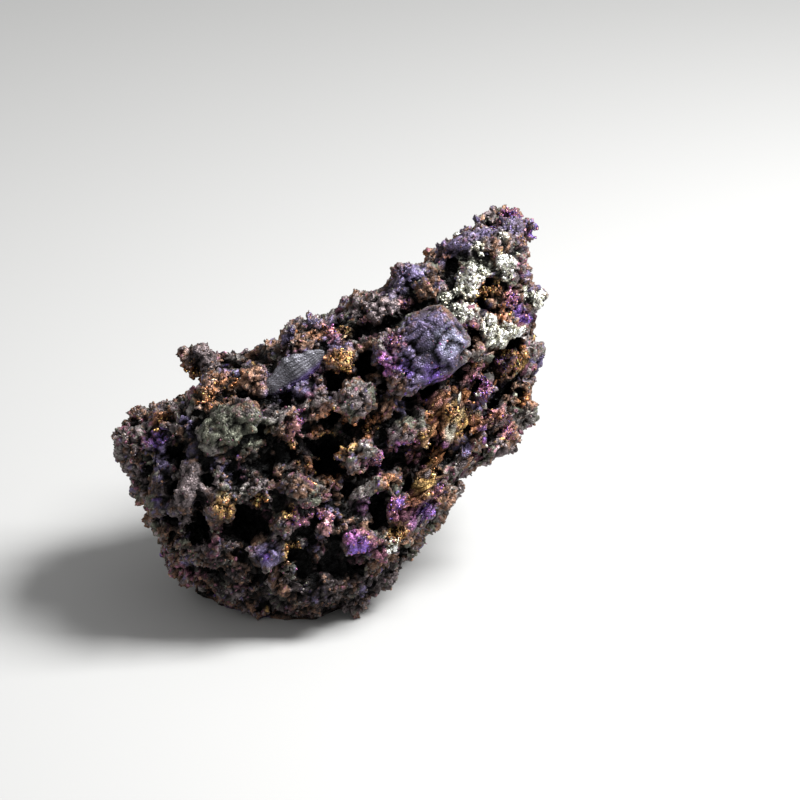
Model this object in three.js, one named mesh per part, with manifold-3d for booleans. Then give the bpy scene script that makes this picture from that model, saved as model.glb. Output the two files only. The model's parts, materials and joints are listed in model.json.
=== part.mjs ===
// A hand-sized specimen of chalcocite: one craggy lump of dark copper sulphide that grew as a
// single piece. A blunt butt at the left swells towards the viewer, and the mass narrows to a
// horn at the upper right. Its skin is knobs, blades, ledges and pits, all of one solid, and it
// rests on one small flat spot under the butt.
//
// It is made in three steps: masses trimmed by old breaks, stones heaped on them, and one faceted
// skin drawn tight over the heap. The few forms that must stay sharp are joined on and cut in last.
//
// Sizes are in millimetres. Everything is laid out on the broad face of the specimen, which leans
// back from upright: a place there is [across, up, out], with across to the right, up along the
// face and out towards the viewer. The specimen is stood up at the end, +Z up.

import * as THREE from "three";
import { ConvexGeometry } from "three/addons/geometries/ConvexGeometry.js";
import { Octree } from "three/addons/math/Octree.js";
import { MeshSurfaceSampler } from "three/addons/math/MeshSurfaceSampler.js";
import { mergeVertices } from "three/addons/utils/BufferGeometryUtils.js";
import Module from "manifold-3d";

const wasm = await Module();
wasm.setup();

const rad = THREE.MathUtils.degToRad;
const lerp = THREE.MathUtils.lerp;
const UP = new THREE.Vector3(0, 1, 0);
const OUT = new THREE.Vector3(0, 0, 1);

// Driving dimensions
const LEAN = rad(25); // how far the broad face leans back from upright
const FLAT_DEPTH = 23.4; // from the middle of the broad face down to the resting spot
const FAR = 100; // beyond every part of the specimen
const EYE = new THREE.Vector3(0, 0, 400); // where the broad face is looked at from
const BEDDED = 0.35; // how far a lump's middle is let in, as a share of its half depth
const WELD = 1e-4; // corners closer than this are one
const GOLDEN = Math.PI * (3 - Math.sqrt(5)); // the turn between one point and the next on a spiral
const SKIN = { color: 0x2b2630, roughness: 0.6, metalness: 0.5 };

// Masses that the specimen is made of, before anything grows on them
const MASSES = [
  { name: "butt", at: [-20, -8.5, 0], size: [15.2, 15, 14.5], seed: 11 },
  { name: "belly", at: [-13.4, -14, -2.5], size: [16.4, 13, 14], seed: 21 },
  { name: "waist", at: [-8, -2, -4], size: [17, 15, 13.5], seed: 12 },
  { name: "shoulder", at: [3, 4, -6], size: [15, 15, 13], seed: 13 },
  { name: "neck", at: [8.5, 12, -9], size: [10, 11, 10.5], seed: 14 },
  { name: "horn", at: [12.6, 19.5, -12], size: [4.4, 6.4, 5.4], seed: 15 },
  { name: "flank", at: [8.5, -1, -5], size: [11, 11, 11], seed: 16 },
  { name: "keel", at: [-4, -14, -4], size: [13, 12, 12], seed: 17 },
];
const MASS_LOOKS = { detail: 2, facets: 22, press: [0.86, 0.98], dent: 0.015, waves: 9, pace: [5, 13] };

// Old breaks that trimmed those masses: a direction, how far out along it the break lies, and the
// masses that it spares
const BREAKS = [
  { name: "lower right edge", toward: [0.63, -0.78, 0], reach: 11.2, spares: ["keel", "belly"] },
  { name: "keel edge", toward: [0.79, -0.61, 0], reach: 11.2 },
  { name: "back slope", toward: [-0.5, 0.86, 0], reach: 13.1 },
  { name: "right end", toward: [1, 0, 0], reach: 15.9 },
  { name: "ledge face", toward: [0.72, -0.1, 0.69], reach: 8.1 },
  { name: "butt end", toward: [-0.93, -0.36, 0], reach: 32.5 },
  { name: "butt corner", toward: [-0.7, -0.71, 0], reach: 34 },
  { name: "back", toward: [0.1, 0.3, -0.95], reach: 17 },
];

// Lumps that can be told apart on the broad face: where each one sits, and its half sizes.
// stand is how far it is raised out of the mass under it. A crisp one keeps its own flat faces,
// and the others are only felt through the skin.
const LUMPS = [
  { name: "block", crisp: true, at: [2.5, 5.6], size: [5.4, 3.7, 3.4], turn: [20, 0, 22], stand: 1.2 },
  { name: "block shoulder", crisp: true, at: [1.6, 8.6], size: [3, 1.7, 2], turn: [0, 0, 28], stand: 1 },
  { name: "block foot", at: [-1.6, 3.8], size: [2.2, 2, 2.2], stand: 1.6 },
  { name: "round knob", crisp: true, at: [-5.5, 0], size: [2.5, 2.4, 2.6], stand: 1.8, detail: 2 },
  { name: "under the blade", crisp: true, at: [-10.9, 1], size: [3, 2.6, 2.6], stand: 1.2, detail: 2 },
  { name: "behind the knob", at: [-8, 4.6], size: [2.9, 1.8, 2.2], turn: [0, 0, 15], stand: 0.6 },
  { name: "upper boss", at: [-2, 10.6], size: [2.5, 1.9, 2.4], stand: 0.9, detail: 2 },
  { name: "upper right boss", at: [3.4, 12.8], size: [2.2, 1.5, 2], turn: [0, 0, 25], stand: 0.8 },
  { name: "low ridge", at: [-3.8, 7.3], size: [2.6, 1.1, 1.8], turn: [0, 0, 18], stand: 0.6 },
  { name: "brown lump", at: [-1, -0.4], size: [1.8, 1.4, 1.8], stand: 0.7 },
  { name: "green corner", at: [0.6, -3.9], size: [2.4, 1.6, 2], turn: [0, 0, 12], stand: 0.9 },
  { name: "near head", crisp: true, at: [-19.7, -1.8], size: [3.2, 2.6, 3], stand: 1.6, detail: 2 },
  { name: "near cheek", at: [-22.5, -4.6], size: [2.8, 2.2, 2.6], turn: [0, 0, 30], stand: 1.2 },
  { name: "pillar", crisp: true, at: [-25.3, -9.4], size: [1.9, 3, 2.4], turn: [0, 0, -4], stand: 1 },
  { name: "end pillar", at: [-28.6, -10], size: [2, 3.6, 2.4], turn: [0, 0, 5], stand: 0.8 },
  { name: "gilt knob", at: [-22, -11.9], size: [1.8, 1.9, 2], stand: 1.2 },
  { name: "small knob", at: [-22.1, -8.7], size: [1.3, 1.1, 1.4], stand: 0.9 },
  { name: "low pillar", at: [-26.4, -13.4], size: [2, 1.9, 2], stand: 0.8 },
  { name: "twin knob", at: [-14.3, -2.6], size: [1.9, 1.9, 2], stand: 1 },
  { name: "rusty knob", crisp: true, at: [-9.7, -3.7], size: [2.6, 2, 2.2], stand: 1 },
  { name: "middle knob", at: [-5.4, -6.8], size: [2.3, 1.9, 2.2], stand: 1 },
  { name: "long knuckle", at: [-3, -10], size: [3.2, 1.5, 2], turn: [0, 0, 20], stand: 0.8 },
  { name: "lower knuckle", at: [-12, -11], size: [2.5, 1.9, 2.2], turn: [0, 0, 10], stand: 1 },
  { name: "small knuckle", at: [-17, -10.6], size: [1.8, 1.5, 1.8], stand: 0.9 },
  { name: "belly knob", at: [-13.4, -14.4], size: [2.2, 1.8, 2], stand: 1 },
  { name: "bottom knob", at: [-15.8, -17.8], size: [2.4, 2.1, 2.2], stand: 1.2 },
  { name: "dark wedge", at: [0.2, -13], size: [1.5, 2.5, 1.8], turn: [0, 0, -8], stand: 0.9 },
  { name: "violet ledge", at: [-4.9, -16.9], size: [2.5, 1.2, 1.8], turn: [0, 0, 16], stand: 1 },
  { name: "keel knob", at: [-2, -18.8], size: [1.5, 1.7, 1.8], stand: 0.8 },
  { name: "gilt stone", at: [-0.4, -16.5], size: [1.2, 1.3, 1.2], stand: 0.5 },
  { name: "crust left of the hole", at: [7.7, 13.6], size: [2.1, 2.4, 1.6], turn: [0, 0, -30], stand: 0.5 },
  { name: "crust below the hole", at: [7.4, 10.3], size: [2.2, 1.2, 1.6], turn: [0, 0, 12], stand: 0.7 },
  { name: "crust above the hole", at: [12.4, 16], size: [1.8, 1.6, 1.6], stand: 0.5 },
  { name: "crust arm", crisp: true, at: [13, 7.4], size: [2.8, 1.2, 1.5], turn: [0, 0, 42], stand: 0.7 },
  { name: "dark pebble", at: [9.2, 5.4], size: [1.4, 1, 1.3], stand: 0.6 },
  { name: "left of the crust", at: [5, 10.4], size: [1.3, 1.3, 1.4], stand: 0.5 },
];

// Lumps along the outline, where the broad face turns away: the whole place of each is given
const RIM = [
  { name: "left head", crisp: true, at: [-23.6, 4.4, -2], size: [2.6, 2.4, 2.6], detail: 2 },
  { name: "left ear", at: [-24.9, 5.2, -2.6], size: [1.2, 1.2, 1.3] },
  { name: "head neighbour", at: [-20.7, 4.8, -2], size: [1.6, 1.7, 1.8] },
  { name: "ridge 1", at: [-17.8, 5.3, -3], size: [1.8, 1.7, 2] },
  { name: "ridge 2", at: [-15.2, 6.6, -4], size: [1.6, 1.5, 1.8] },
  { name: "ridge 3", at: [-12.6, 8, -5], size: [1.8, 1.5, 2] },
  { name: "ridge 4", at: [-9.8, 8.8, -6], size: [1.6, 1.4, 1.8] },
  { name: "ridge 5", at: [-6.8, 11.2, -7], size: [1.9, 1.6, 2] },
  { name: "ridge 6", at: [-3.6, 12.6, -7.5], size: [1.7, 1.5, 1.8] },
  { name: "ridge 7", at: [-0.4, 14.2, -8], size: [1.8, 1.5, 2] },
  { name: "ridge 8", at: [2.4, 15.6, -8.5], size: [1.6, 1.5, 1.8] },
  { name: "ridge 9", at: [4.9, 17.2, -9.5], size: [1.7, 1.7, 1.8] },
  { name: "ridge 10", at: [6.6, 19.3, -10.5], size: [1.5, 1.4, 1.6] },
  { name: "horn left", at: [9, 20.4, -11], size: [1.7, 1.9, 1.8] },
  { name: "horn", at: [12.2, 21.2, -12], size: [3.2, 3.6, 3], turn: [0, 0, 12], detail: 2 },
  { name: "horn spur", crisp: true, at: [15.8, 20.7, -12.5], size: [1.4, 1.2, 1.3], turn: [0, 0, -25] },
  { name: "below the horn", at: [13, 17.4, -10.5], size: [2, 1.8, 2] },
  { name: "right ear", at: [16.2, 13, -5.5], size: [1.6, 1.7, 1.8] },
  { name: "blue cheek", at: [15.6, 10.2, -5], size: [1.4, 1.5, 1.6] },
  { name: "right rib", crisp: true, at: [15.6, 4.8, -6], size: [1, 3.4, 2.4], turn: [0, 0, -3] },
  { name: "right rib below", at: [15.2, 0.8, -6], size: [1.1, 2.6, 2.2], turn: [0, 0, 6] },
  { name: "right nib", at: [16.1, -1.7, -5.5], size: [1.1, 1.2, 1.3] },
  { name: "edge lump", at: [12.6, -5.2, -4], size: [2.8, 1.6, 2.4], turn: [0, 0, 34], detail: 2 },
  { name: "edge slab", crisp: true, at: [8.6, -8.1, -4], size: [3, 1, 2.4], turn: [0, 0, 40] },
  { name: "keel slab", at: [5.4, -12.2, -2.5], size: [1.4, 3.2, 2.2], turn: [0, 0, -28], detail: 2 },
  { name: "keel step", at: [2, -17.4, -1], size: [1.4, 2.6, 2], turn: [0, 0, -34] },
  { name: "keel end", at: [-1.2, -21.2, 0], size: [1.6, 2.4, 2.2], turn: [0, 0, -20] },
];

// Thin plates, each a pointed outline pushed out to a thickness: length, width and thickness.
// The outline is given as shares of length and width.
const OUTLINE = { tail: [-0.5, 0], belly: [-0.1, -0.7], nose: [0.5, -0.15], back: [0.2, 0.8] };
const BLADES = [
  { name: "grey blade", at: [-11.7, 3.6], size: [9, 3.4, 1.5], turn: [-34, 12, 35], stand: 1.5 },
  { name: "green plate", at: [2.9, -3.2], size: [5.2, 2.8, 0.9], turn: [0, 38, 104], stand: 0.6 },
  { name: "brown plate", at: [-8.6, -8.6], size: [5.4, 1.8, 0.9], turn: [0, 20, -52], stand: 0.5 },
];

// Ledges on the broken right side, each a thin shelf that runs up along it. size gives the range
// of each half size, sway how many degrees a shelf may be off, and sunk how deep its middle lies.
// stagger and step are how far a shelf may be moved along its row and out of it, as shares.
const LEDGES = {
  rows: 4,
  perRow: 3,
  from: [1.5, -14],
  to: [13.5, 9.5],
  offset: -2.6,
  spread: 7.5,
  size: [[3, 5], [0.7, 1.2], [2, 3]],
  sway: 12,
  stagger: [0.25, 0.75],
  step: [0, 0.5],
  sunk: 1.6,
  seed: 71,
};

// Hollows: where each one opens on the broad face, its half sizes, and how it turns
const PITS = [
  { name: "hole in the crust", crisp: true, at: [11.2, 12.4], size: [1.5, 1.9, 3.6], turn: [0, 0, 10] },
  { name: "crust gap", at: [13.4, 9.6], size: [0.9, 0.7, 2], turn: [0, 0, 30] },
  { name: "under the block", crisp: true, at: [0.4, 1.3], size: [3.4, 0.8, 3.6], turn: [0, 0, 6] },
  { name: "left of the block", at: [-4.3, 3.6], size: [0.9, 2.2, 3.4], turn: [0, 0, -14] },
  { name: "left of the knob", at: [-8.2, -0.2], size: [0.8, 2.4, 3.2], turn: [0, 0, 6] },
  { name: "below the blade", at: [-16.8, 1.4], size: [3, 0.8, 2.6], turn: [0, 0, 20] },
  { name: "deep middle", crisp: true, at: [-8.2, -7.6], size: [2.2, 1.6, 3.4], turn: [0, 0, -20] },
  { name: "deep middle low", at: [-7, -11.6], size: [2, 1.2, 3] },
  { name: "throat", at: [-2.6, -14], size: [1, 2.2, 3.4], turn: [0, 0, 12] },
  { name: "near hollow", at: [-19.6, -15], size: [2.4, 2.2, 3.6], turn: [0, 0, 15] },
  { name: "near slot", at: [-24.2, -15.6], size: [1, 2.4, 3], turn: [0, 0, -10] },
  { name: "sparkling hollow", at: [-27.2, -6.2], size: [1.8, 1, 2.6] },
  { name: "pillar gap", at: [-23.6, -7.8], size: [0.6, 2, 2.6], turn: [0, 0, -6] },
  { name: "behind the head", at: [-16.2, -6.4], size: [2, 1, 2.8], turn: [0, 0, 25] },
  { name: "groove in the ledges", crisp: true, at: [7.4, -5.4], size: [0.9, 4.4, 2.2], turn: [0, 0, -38] },
  { name: "upper groove", at: [-5, 8.8], size: [4.4, 0.6, 2], turn: [0, 0, 24] },
];

// The coat of close-set stones that hides the masses, big ones first and small ones in what gaps
// are left: how far apart they sit, the range of their half sizes, how far each of the three may be
// stretched, and how deep their middles lie as a share of the half size.
const STRETCH = [[1, 1.35], [0.85, 1.15], [0.8, 1.1]];
const COATS = [
  { name: "big stones", tries: 900, seed: 41, gap: 6.4, least: 3.4, most: 4.6, sunk: 0.62 },
  { name: "small stones", tries: 2500, seed: 42, gap: 4.1, least: 2, most: 2.8, sunk: 0.42 },
];

// The spine that the skin is drawn in towards, and the spindle of points round it
const SPINE = { points: 3140, from: [-17, -10, -3], to: [9, 11, -8], beyond: 14, waist: 16 };

// Where each kind starts in the row of repeatable shapes
const SEEDS = { lumps: 100, rim: 150, pits: 400 };

// A repeatable source of numbers between 0 and 1. Only one runs at a time.
function numbers(seed) {
  THREE.MathUtils.seededRandom(seed);
  return () => THREE.MathUtils.seededRandom();
}

// A direction drawn evenly from the whole sphere
function anyDirection(next) {
  const height = 2 * next() - 1;
  const turn = 2 * Math.PI * next();
  const radius = Math.sqrt(1 - height * height);
  return new THREE.Vector3(radius * Math.cos(turn), radius * Math.sin(turn), height);
}

// A place given by its distance from the upright axis, its turn round it and its height
function around(radius, turn, height) {
  return new THREE.Vector3(radius * Math.cos(turn), height, radius * Math.sin(turn));
}

// Turns a closed geometry into a solid that can be joined and cut
function solid(geometry) {
  geometry.deleteAttribute("normal");
  geometry.deleteAttribute("uv");
  const merged = mergeVertices(geometry, WELD);
  return new wasm.Manifold(
    new wasm.Mesh({
      numProp: 3,
      vertProperties: merged.getAttribute("position").array,
      triVerts: new Uint32Array(merged.index.array),
    }),
  );
}

// The other way round: a geometry of a solid's faces
function geometryOf(manifold) {
  const mesh = manifold.getMesh();
  const geometry = new THREE.BufferGeometry();
  const places = new Float32Array(mesh.vertProperties);
  geometry.setAttribute("position", new THREE.BufferAttribute(places, 3));
  geometry.setIndex(new THREE.BufferAttribute(new Uint32Array(mesh.triVerts), 1));
  return geometry;
}

// A stone: a ball pressed flat on several sides and dented by a few waves, then stretched to its
// size. All as shares of its radius: press is how far out the flats lie, bite how much of what is
// past a flat goes, dent how deep a wave cuts. pace is how closely the waves follow each other.
const STONE_LOOKS = {
  turn: [0, 0, 0],
  detail: 1,
  facets: 9,
  press: [0.76, 0.98],
  bite: 0.85,
  dent: 0.03,
  waves: 4,
  pace: [3, 7],
};
function stone(look) {
  const { at, size, turn, seed, detail, ...form } = { ...STONE_LOOKS, ...look };
  const { facets, press, bite, dent, waves, pace } = form;
  const next = numbers(seed);
  const flats = Array.from({ length: facets }, () => ({
    normal: anyDirection(next),
    depth: lerp(...press, next()),
  }));
  const ripples = Array.from({ length: waves }, () => ({
    normal: anyDirection(next).multiplyScalar(lerp(...pace, next())),
    phase: 2 * Math.PI * next(),
  }));
  const geometry = new THREE.IcosahedronGeometry(1, detail);
  const position = geometry.getAttribute("position");
  const point = new THREE.Vector3();
  for (let i = 0; i < position.count; i++) {
    point.fromBufferAttribute(position, i).normalize();
    const swell = ripples.reduce((sum, wave) => sum + Math.sin(point.dot(wave.normal) + wave.phase), 0);
    for (const { normal, depth } of flats) {
      const over = point.dot(normal) - depth;
      if (over > 0) point.addScaledVector(normal, -bite * over);
    }
    point.multiplyScalar(1 + dent * swell);
    position.setXYZ(i, ...point);
  }
  geometry.scale(...size);
  geometry.rotateX(rad(turn[0])).rotateY(rad(turn[1])).rotateZ(rad(turn[2]));
  geometry.translate(...at);
  return solid(geometry);
}

// Everything past a plane, as a block to cut away
function past(toward, reach) {
  const geometry = new THREE.BoxGeometry(2 * FAR, 2 * FAR, FAR);
  geometry.translate(0, 0, FAR / 2 + reach);
  const face = new THREE.Vector3(...toward).normalize();
  geometry.applyQuaternion(new THREE.Quaternion().setFromUnitVectors(OUT, face));
  return solid(geometry);
}

// One mass, less what the breaks took off it
function trimmed(mass) {
  const breaks = BREAKS.filter(({ spares = [] }) => !spares.includes(mass.name));
  const whole = stone({ ...MASS_LOOKS, ...mass });
  return breaks.reduce((left, { toward, reach }) => left.subtract(past(toward, reach)), whole);
}

const core = MASSES.map(trimmed).reduce((all, one) => all.add(one));

// A thing that straight lines can be tried against, and the place where one meets it first
function targetOf(mesh) {
  return new Octree().fromGraphNode(mesh);
}
function meets(target, from, to) {
  const hit = target.rayIntersect(new THREE.Ray(from.clone(), to.clone().sub(from).normalize()));
  return hit ? hit.position : null;
}

const coreMesh = new THREE.Mesh(geometryOf(core));
const coreTarget = targetOf(coreMesh);

// A place on the broad face as it looks from arm's length, raised by stand
function onFace([across, up], stand) {
  const hit = meets(coreTarget, EYE, new THREE.Vector3(across, up, 0));
  if (!hit) throw new Error(`nothing carries the place ${across}, ${up}`);
  hit.z += stand;
  return hit.toArray();
}

// A plate's outline is drawn at unit size, so that length, width and thickness only scale it
function blade({ at, size: [length, width, thick], turn, stand }) {
  const { tail, belly, nose, back } = OUTLINE;
  const outline = new THREE.Shape();
  outline.moveTo(...tail);
  outline.quadraticCurveTo(...belly, ...nose);
  outline.quadraticCurveTo(...back, ...tail);
  const geometry = new THREE.ExtrudeGeometry(outline, { depth: 1, bevelEnabled: false, curveSegments: 5 });
  geometry.translate(0, 0, -1);
  geometry.scale(length, width, thick);
  geometry.rotateX(rad(turn[0])).rotateY(rad(turn[1])).rotateZ(rad(turn[2]));
  geometry.translate(...onFace(at, stand));
  return solid(geometry);
}

// Shelves in rows that step across the broken side
function ledges({ rows, perRow, from, to, offset, spread, size, sway, stagger, step, sunk, seed }) {
  const next = numbers(seed);
  const run = Math.atan2(to[1] - from[1], to[0] - from[0]);
  const shelves = [];
  for (let k = 0; k < rows * perRow; k++) {
    const along = ((k % perRow) + lerp(...stagger, next())) / perRow;
    const aside = offset + (Math.floor(k / perRow) + lerp(...step, next())) * (spread / rows);
    const across = lerp(from[0], to[0], along) + aside * Math.sin(run);
    const up = lerp(from[1], to[1], along) - aside * Math.cos(run);
    const halves = size.map((range) => lerp(...range, next()));
    const sways = [0, 1, 2].map(() => lerp(-sway, sway, next()));
    if (!meets(coreTarget, EYE, new THREE.Vector3(across, up, 0))) continue;
    const turn = [sways[0], sways[1], sways[2] + THREE.MathUtils.radToDeg(run)];
    shelves.push({ at: onFace([across, up], -sunk), size: halves, turn, seed: seed + k });
  }
  return shelves;
}

// Stones spread over the masses, each one where no stone sits closer than the gap
function coat({ tries, seed, gap, least, most, sunk }, taken) {
  const next = numbers(seed);
  const sampler = new MeshSurfaceSampler(coreMesh).setRandomGenerator(next).build();
  const at = new THREE.Vector3();
  const outward = new THREE.Vector3();
  const places = taken.map((other) => new THREE.Vector3(...other.at));
  const made = [];
  for (let k = 0; k < tries; k++) {
    sampler.sample(at, outward);
    const half = lerp(least, most, next());
    const size = STRETCH.map((range) => half * lerp(...range, next()));
    const turn = [0, 1, 2].map(() => 180 * next());
    if (places.some((place) => place.distanceTo(at) < gap)) continue;
    at.addScaledVector(outward, -sunk * half);
    places.push(at.clone());
    made.push({ at: at.toArray(), size, turn, seed: seed + k });
  }
  return made;
}

const onBroadFace = ({ at, stand, ...look }, k) => {
  return { ...look, at: onFace(at, stand - BEDDED * look.size[2]), seed: SEEDS.lumps + k };
};
const named = [...LUMPS.map(onBroadFace), ...RIM.map((lump, k) => ({ ...lump, seed: SEEDS.rim + k }))];
const pits = PITS.map((pit, k) => ({ ...pit, at: onFace(pit.at, 0), seed: SEEDS.pits + k }));
const stones = COATS.reduce((all, layer) => [...all, ...coat(layer, all)], named);
const heaped = stones.map(stone).reduce((all, one) => all.add(one), core);
const lumpy = pits.map(stone).reduce((all, one) => all.subtract(one), heaped);

// Where a place on the spindle goes on a ball so that a small triangle keeps its shape: share runs
// from -1 at one tip to 1 at the other
function heightOnBall(share, slimness) {
  const e = Math.sqrt(1 - slimness * slimness);
  const bulge = Math.sqrt(1 - e * e * share * share);
  return Math.tanh((e / slimness) * Math.asin(e * share) + Math.atanh((slimness * share) / bulge));
}

// The skin: points spread evenly round a spindle, each moved straight in towards the spine until
// it meets a stone, and joined up as the hull of the same points on a ball
function skinOver(manifold, { points, from, to, beyond, waist }) {
  const target = targetOf(new THREE.Mesh(geometryOf(manifold)));
  const [start, end] = [new THREE.Vector3(...from), new THREE.Vector3(...to)];
  const middle = start.clone().add(end).multiplyScalar(0.5);
  const half = end.distanceTo(start) / 2;
  const upright = new THREE.Quaternion().setFromUnitVectors(UP, end.clone().sub(start).normalize());
  const outer = new Map();
  const ball = Array.from({ length: points }, (_, k) => {
    const share = 1 - (2 * k + 1) / points;
    const height = heightOnBall(share, waist / (half + beyond));
    const onBall = around(Math.sqrt(1 - height * height), GOLDEN * k, height);
    const inner = UP.clone().multiplyScalar(half * share);
    const reach = waist * Math.sqrt(1 - share * share);
    const toward = around(reach, GOLDEN * k, (half + beyond) * share).sub(inner).normalize();
    const spine = inner.applyQuaternion(upright).add(middle);
    const away = spine.clone().addScaledVector(toward.applyQuaternion(upright), FAR);
    outer.set(onBall.toArray().map(Math.fround).join(), meets(target, away, spine));
    return onBall;
  });
  const geometry = new ConvexGeometry(ball);
  const position = geometry.getAttribute("position");
  for (let i = 0; i < position.count; i++) {
    const key = [position.getX(i), position.getY(i), position.getZ(i)].join();
    position.setXYZ(i, ...outer.get(key));
  }
  return solid(geometry);
}

const crisp = [...named.filter((lump) => lump.crisp), ...ledges(LEDGES)].map(stone);
const grown = [...crisp, ...BLADES.map(blade)];
const hollows = pits.filter((pit) => pit.crisp).map(stone);
const down = [0, -Math.cos(LEAN), -Math.sin(LEAN)];

let whole = grown.reduce((all, one) => all.add(one), skinOver(lumpy, SPINE));
whole = hollows.reduce((all, one) => all.subtract(one), whole);
whole = whole.subtract(past(down, FLAT_DEPTH));

const skin = geometryOf(whole);
skin.rotateX(Math.PI / 2 - LEAN);
skin.computeBoundingBox();
const middle = skin.boundingBox.getCenter(new THREE.Vector3());
skin.translate(-middle.x, -middle.y, -skin.boundingBox.min.z);

const specimen = new THREE.Mesh(skin, new THREE.MeshStandardMaterial(SKIN));
specimen.name = "chalcocite";

const group = new THREE.Group();
group.add(specimen);
export default group;
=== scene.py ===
# %% [markdown]
# # A specimen of chalcocite
#
# The specimen is one craggy lump of copper sulphide, some five centimetres long. Its skin is a heap
# of dark knobs with black gaps between them. Thin tarnish turns patches of it gold, copper, pink,
# purple and blue, and a crust of bright grains rings the hole at its upper right.
#
# The solid from the CAD model gives the mass of it. Here it gets the knobs, ledges and grains that
# are too small for a solid, and its colours.

# %% Load the solid
import json
import math

import bpy
import numpy as np
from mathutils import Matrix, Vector
from mathutils.bvhtree import BVHTree

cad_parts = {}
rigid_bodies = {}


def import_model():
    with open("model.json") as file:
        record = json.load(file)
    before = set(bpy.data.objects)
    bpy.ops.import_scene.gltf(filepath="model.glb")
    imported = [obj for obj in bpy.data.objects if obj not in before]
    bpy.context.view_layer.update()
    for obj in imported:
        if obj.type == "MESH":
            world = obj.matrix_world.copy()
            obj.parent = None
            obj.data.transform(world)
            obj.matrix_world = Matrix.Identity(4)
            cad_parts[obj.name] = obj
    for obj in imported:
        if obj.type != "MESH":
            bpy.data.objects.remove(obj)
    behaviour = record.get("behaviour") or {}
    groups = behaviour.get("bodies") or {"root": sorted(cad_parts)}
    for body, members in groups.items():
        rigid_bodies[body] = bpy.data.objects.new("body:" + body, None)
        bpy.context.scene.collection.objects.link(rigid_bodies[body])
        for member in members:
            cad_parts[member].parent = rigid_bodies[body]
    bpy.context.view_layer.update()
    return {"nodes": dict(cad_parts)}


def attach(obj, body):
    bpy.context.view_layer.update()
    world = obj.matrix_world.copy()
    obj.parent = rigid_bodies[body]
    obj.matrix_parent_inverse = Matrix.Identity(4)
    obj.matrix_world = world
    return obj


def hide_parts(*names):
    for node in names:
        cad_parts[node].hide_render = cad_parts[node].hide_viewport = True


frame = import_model()
MM = 0.001

# %% [markdown]
# ## The camera
#
# The specimen was seen from above by about 25 degrees, from arm's length. Its broad face leans back
# by as much, so a place on that face is easy to name: so far across, so far up, and so far out.
# The camera looks straight at the middle of the face. A long lens 400 mm away takes in 96 mm there.

# %% Camera
LEAN = math.radians(25)
HEART = np.array([8.347, -1.749, 23.4]) * MM
ACROSS = np.array([1.0, 0.0, 0.0])
UP = np.array([0.0, math.sin(LEAN), math.cos(LEAN)])
OUT = np.array([0.0, -math.cos(LEAN), math.sin(LEAN)])
ARM = 400 * MM
EYE = HEART + ARM * OUT

camera_data = bpy.data.cameras.new("camera")
camera_data.sensor_width = 36
camera_data.lens = 150
camera_data.clip_start = 0.01
camera_data.clip_end = 10
camera = bpy.data.objects.new("camera", camera_data)
camera.location = EYE
camera.rotation_euler = (math.pi / 2 - LEAN, 0, 0)
bpy.context.collection.objects.link(camera)
bpy.context.scene.camera = camera
print("camera at, mm:", np.round(EYE / MM, 1))


# %% Places on the broad face
def at_face(across, up, out):
    """The middle of the face, plus so many mm along each of its three directions."""
    return HEART + MM * (across * ACROSS + up * UP + out * OUT)


def face_of(points):
    """How far each point is across, up and out, in mm: its distance along each direction."""
    away = (points - HEART) / MM
    return np.stack([away @ ACROSS, away @ UP, away @ OUT], 1)


def seen_of(points):
    """Where each point appears on the face, in mm: it slides along the line of sight from the eye."""
    face = face_of(points)
    near = (ARM / MM) / (ARM / MM - face[:, 2])
    return face[:, :2] * near[:, None]


print("top right corner of the view:", np.round(at_face(48, 48, 0) / MM, 1))

# %% [markdown]
# ## Numbers for a rough surface
#
# Everything rough here comes from two patterns in space. Soft noise is a number for each corner
# of a grid, blended smoothly between corners. Cell noise scatters one spot in each box of a grid and
# asks how far the nearest spots are: near a spot is a knob, and half way between two is a gap.
# Both are worked out for all points at once.


# %% Soft noise and cell noise
def hashed(cell, seed):
    """A number from 0 to 1 for a whole-number cell: its three numbers times large odd ones, mixed."""
    mixed = (cell[..., 0] * 73856093) ^ (cell[..., 1] * 19349663) ^ (cell[..., 2] * 83492791)
    mixed = (mixed + seed * 374761393) & 0xFFFFFFFF
    mixed = ((mixed ^ (mixed >> 15)) * 2246822519) & 0xFFFFFFFF
    mixed = ((mixed ^ (mixed >> 13)) * 3266489917) & 0xFFFFFFFF
    return ((mixed ^ (mixed >> 16)) & 0xFFFFFF) / 0xFFFFFF


def soft_noise(points, size, seed):
    """The eight corners of the point's cell, blended by 3t^2 - 2t^3 each way, from -1 to 1."""
    place = points / size
    base = np.floor(place).astype(np.int64)
    part = place - base
    part = part * part * (3 - 2 * part)
    total = np.zeros(len(points))
    for corner in np.ndindex(2, 2, 2):
        share = np.prod(np.where(np.array(corner) == 1, part, 1 - part), axis=1)
        total += share * hashed(base + np.array(corner), seed)
    return 2 * total - 1


def cell_noise(points, size, seed):
    """Distances to the nearest and second nearest spot, in cells, a number of the nearest's own, and
    a facet: how far the point lies from that spot along a direction of the spot's own."""
    place = points / size
    base = np.floor(place).astype(np.int64)
    first, second = np.full(len(points), 9.0), np.full(len(points), 9.0)
    own, offset = np.zeros(len(points)), np.zeros(points.shape)
    for step in np.ndindex(3, 3, 3):
        cell = base + np.array(step) - 1
        away = place - cell - np.stack([hashed(cell, seed + axis) for axis in (1, 2, 3)], 1)
        far = np.sqrt(np.einsum("ij,ij->i", away, away))
        closer = far < first
        second = np.where(closer, first, np.minimum(second, far))
        own = np.where(closer, hashed(cell, seed + 4), own)
        offset = np.where(closer[:, None], away, offset)
        first = np.where(closer, far, first)
    around, rise = 2 * math.pi * own, 2 * np.mod(own * 917.3, 1) - 1
    level = np.sqrt(1 - rise * rise)
    facet = offset[:, 0] * level * np.cos(around) + offset[:, 1] * level * np.sin(around)
    return first, second, own, facet + offset[:, 2] * rise


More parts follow.
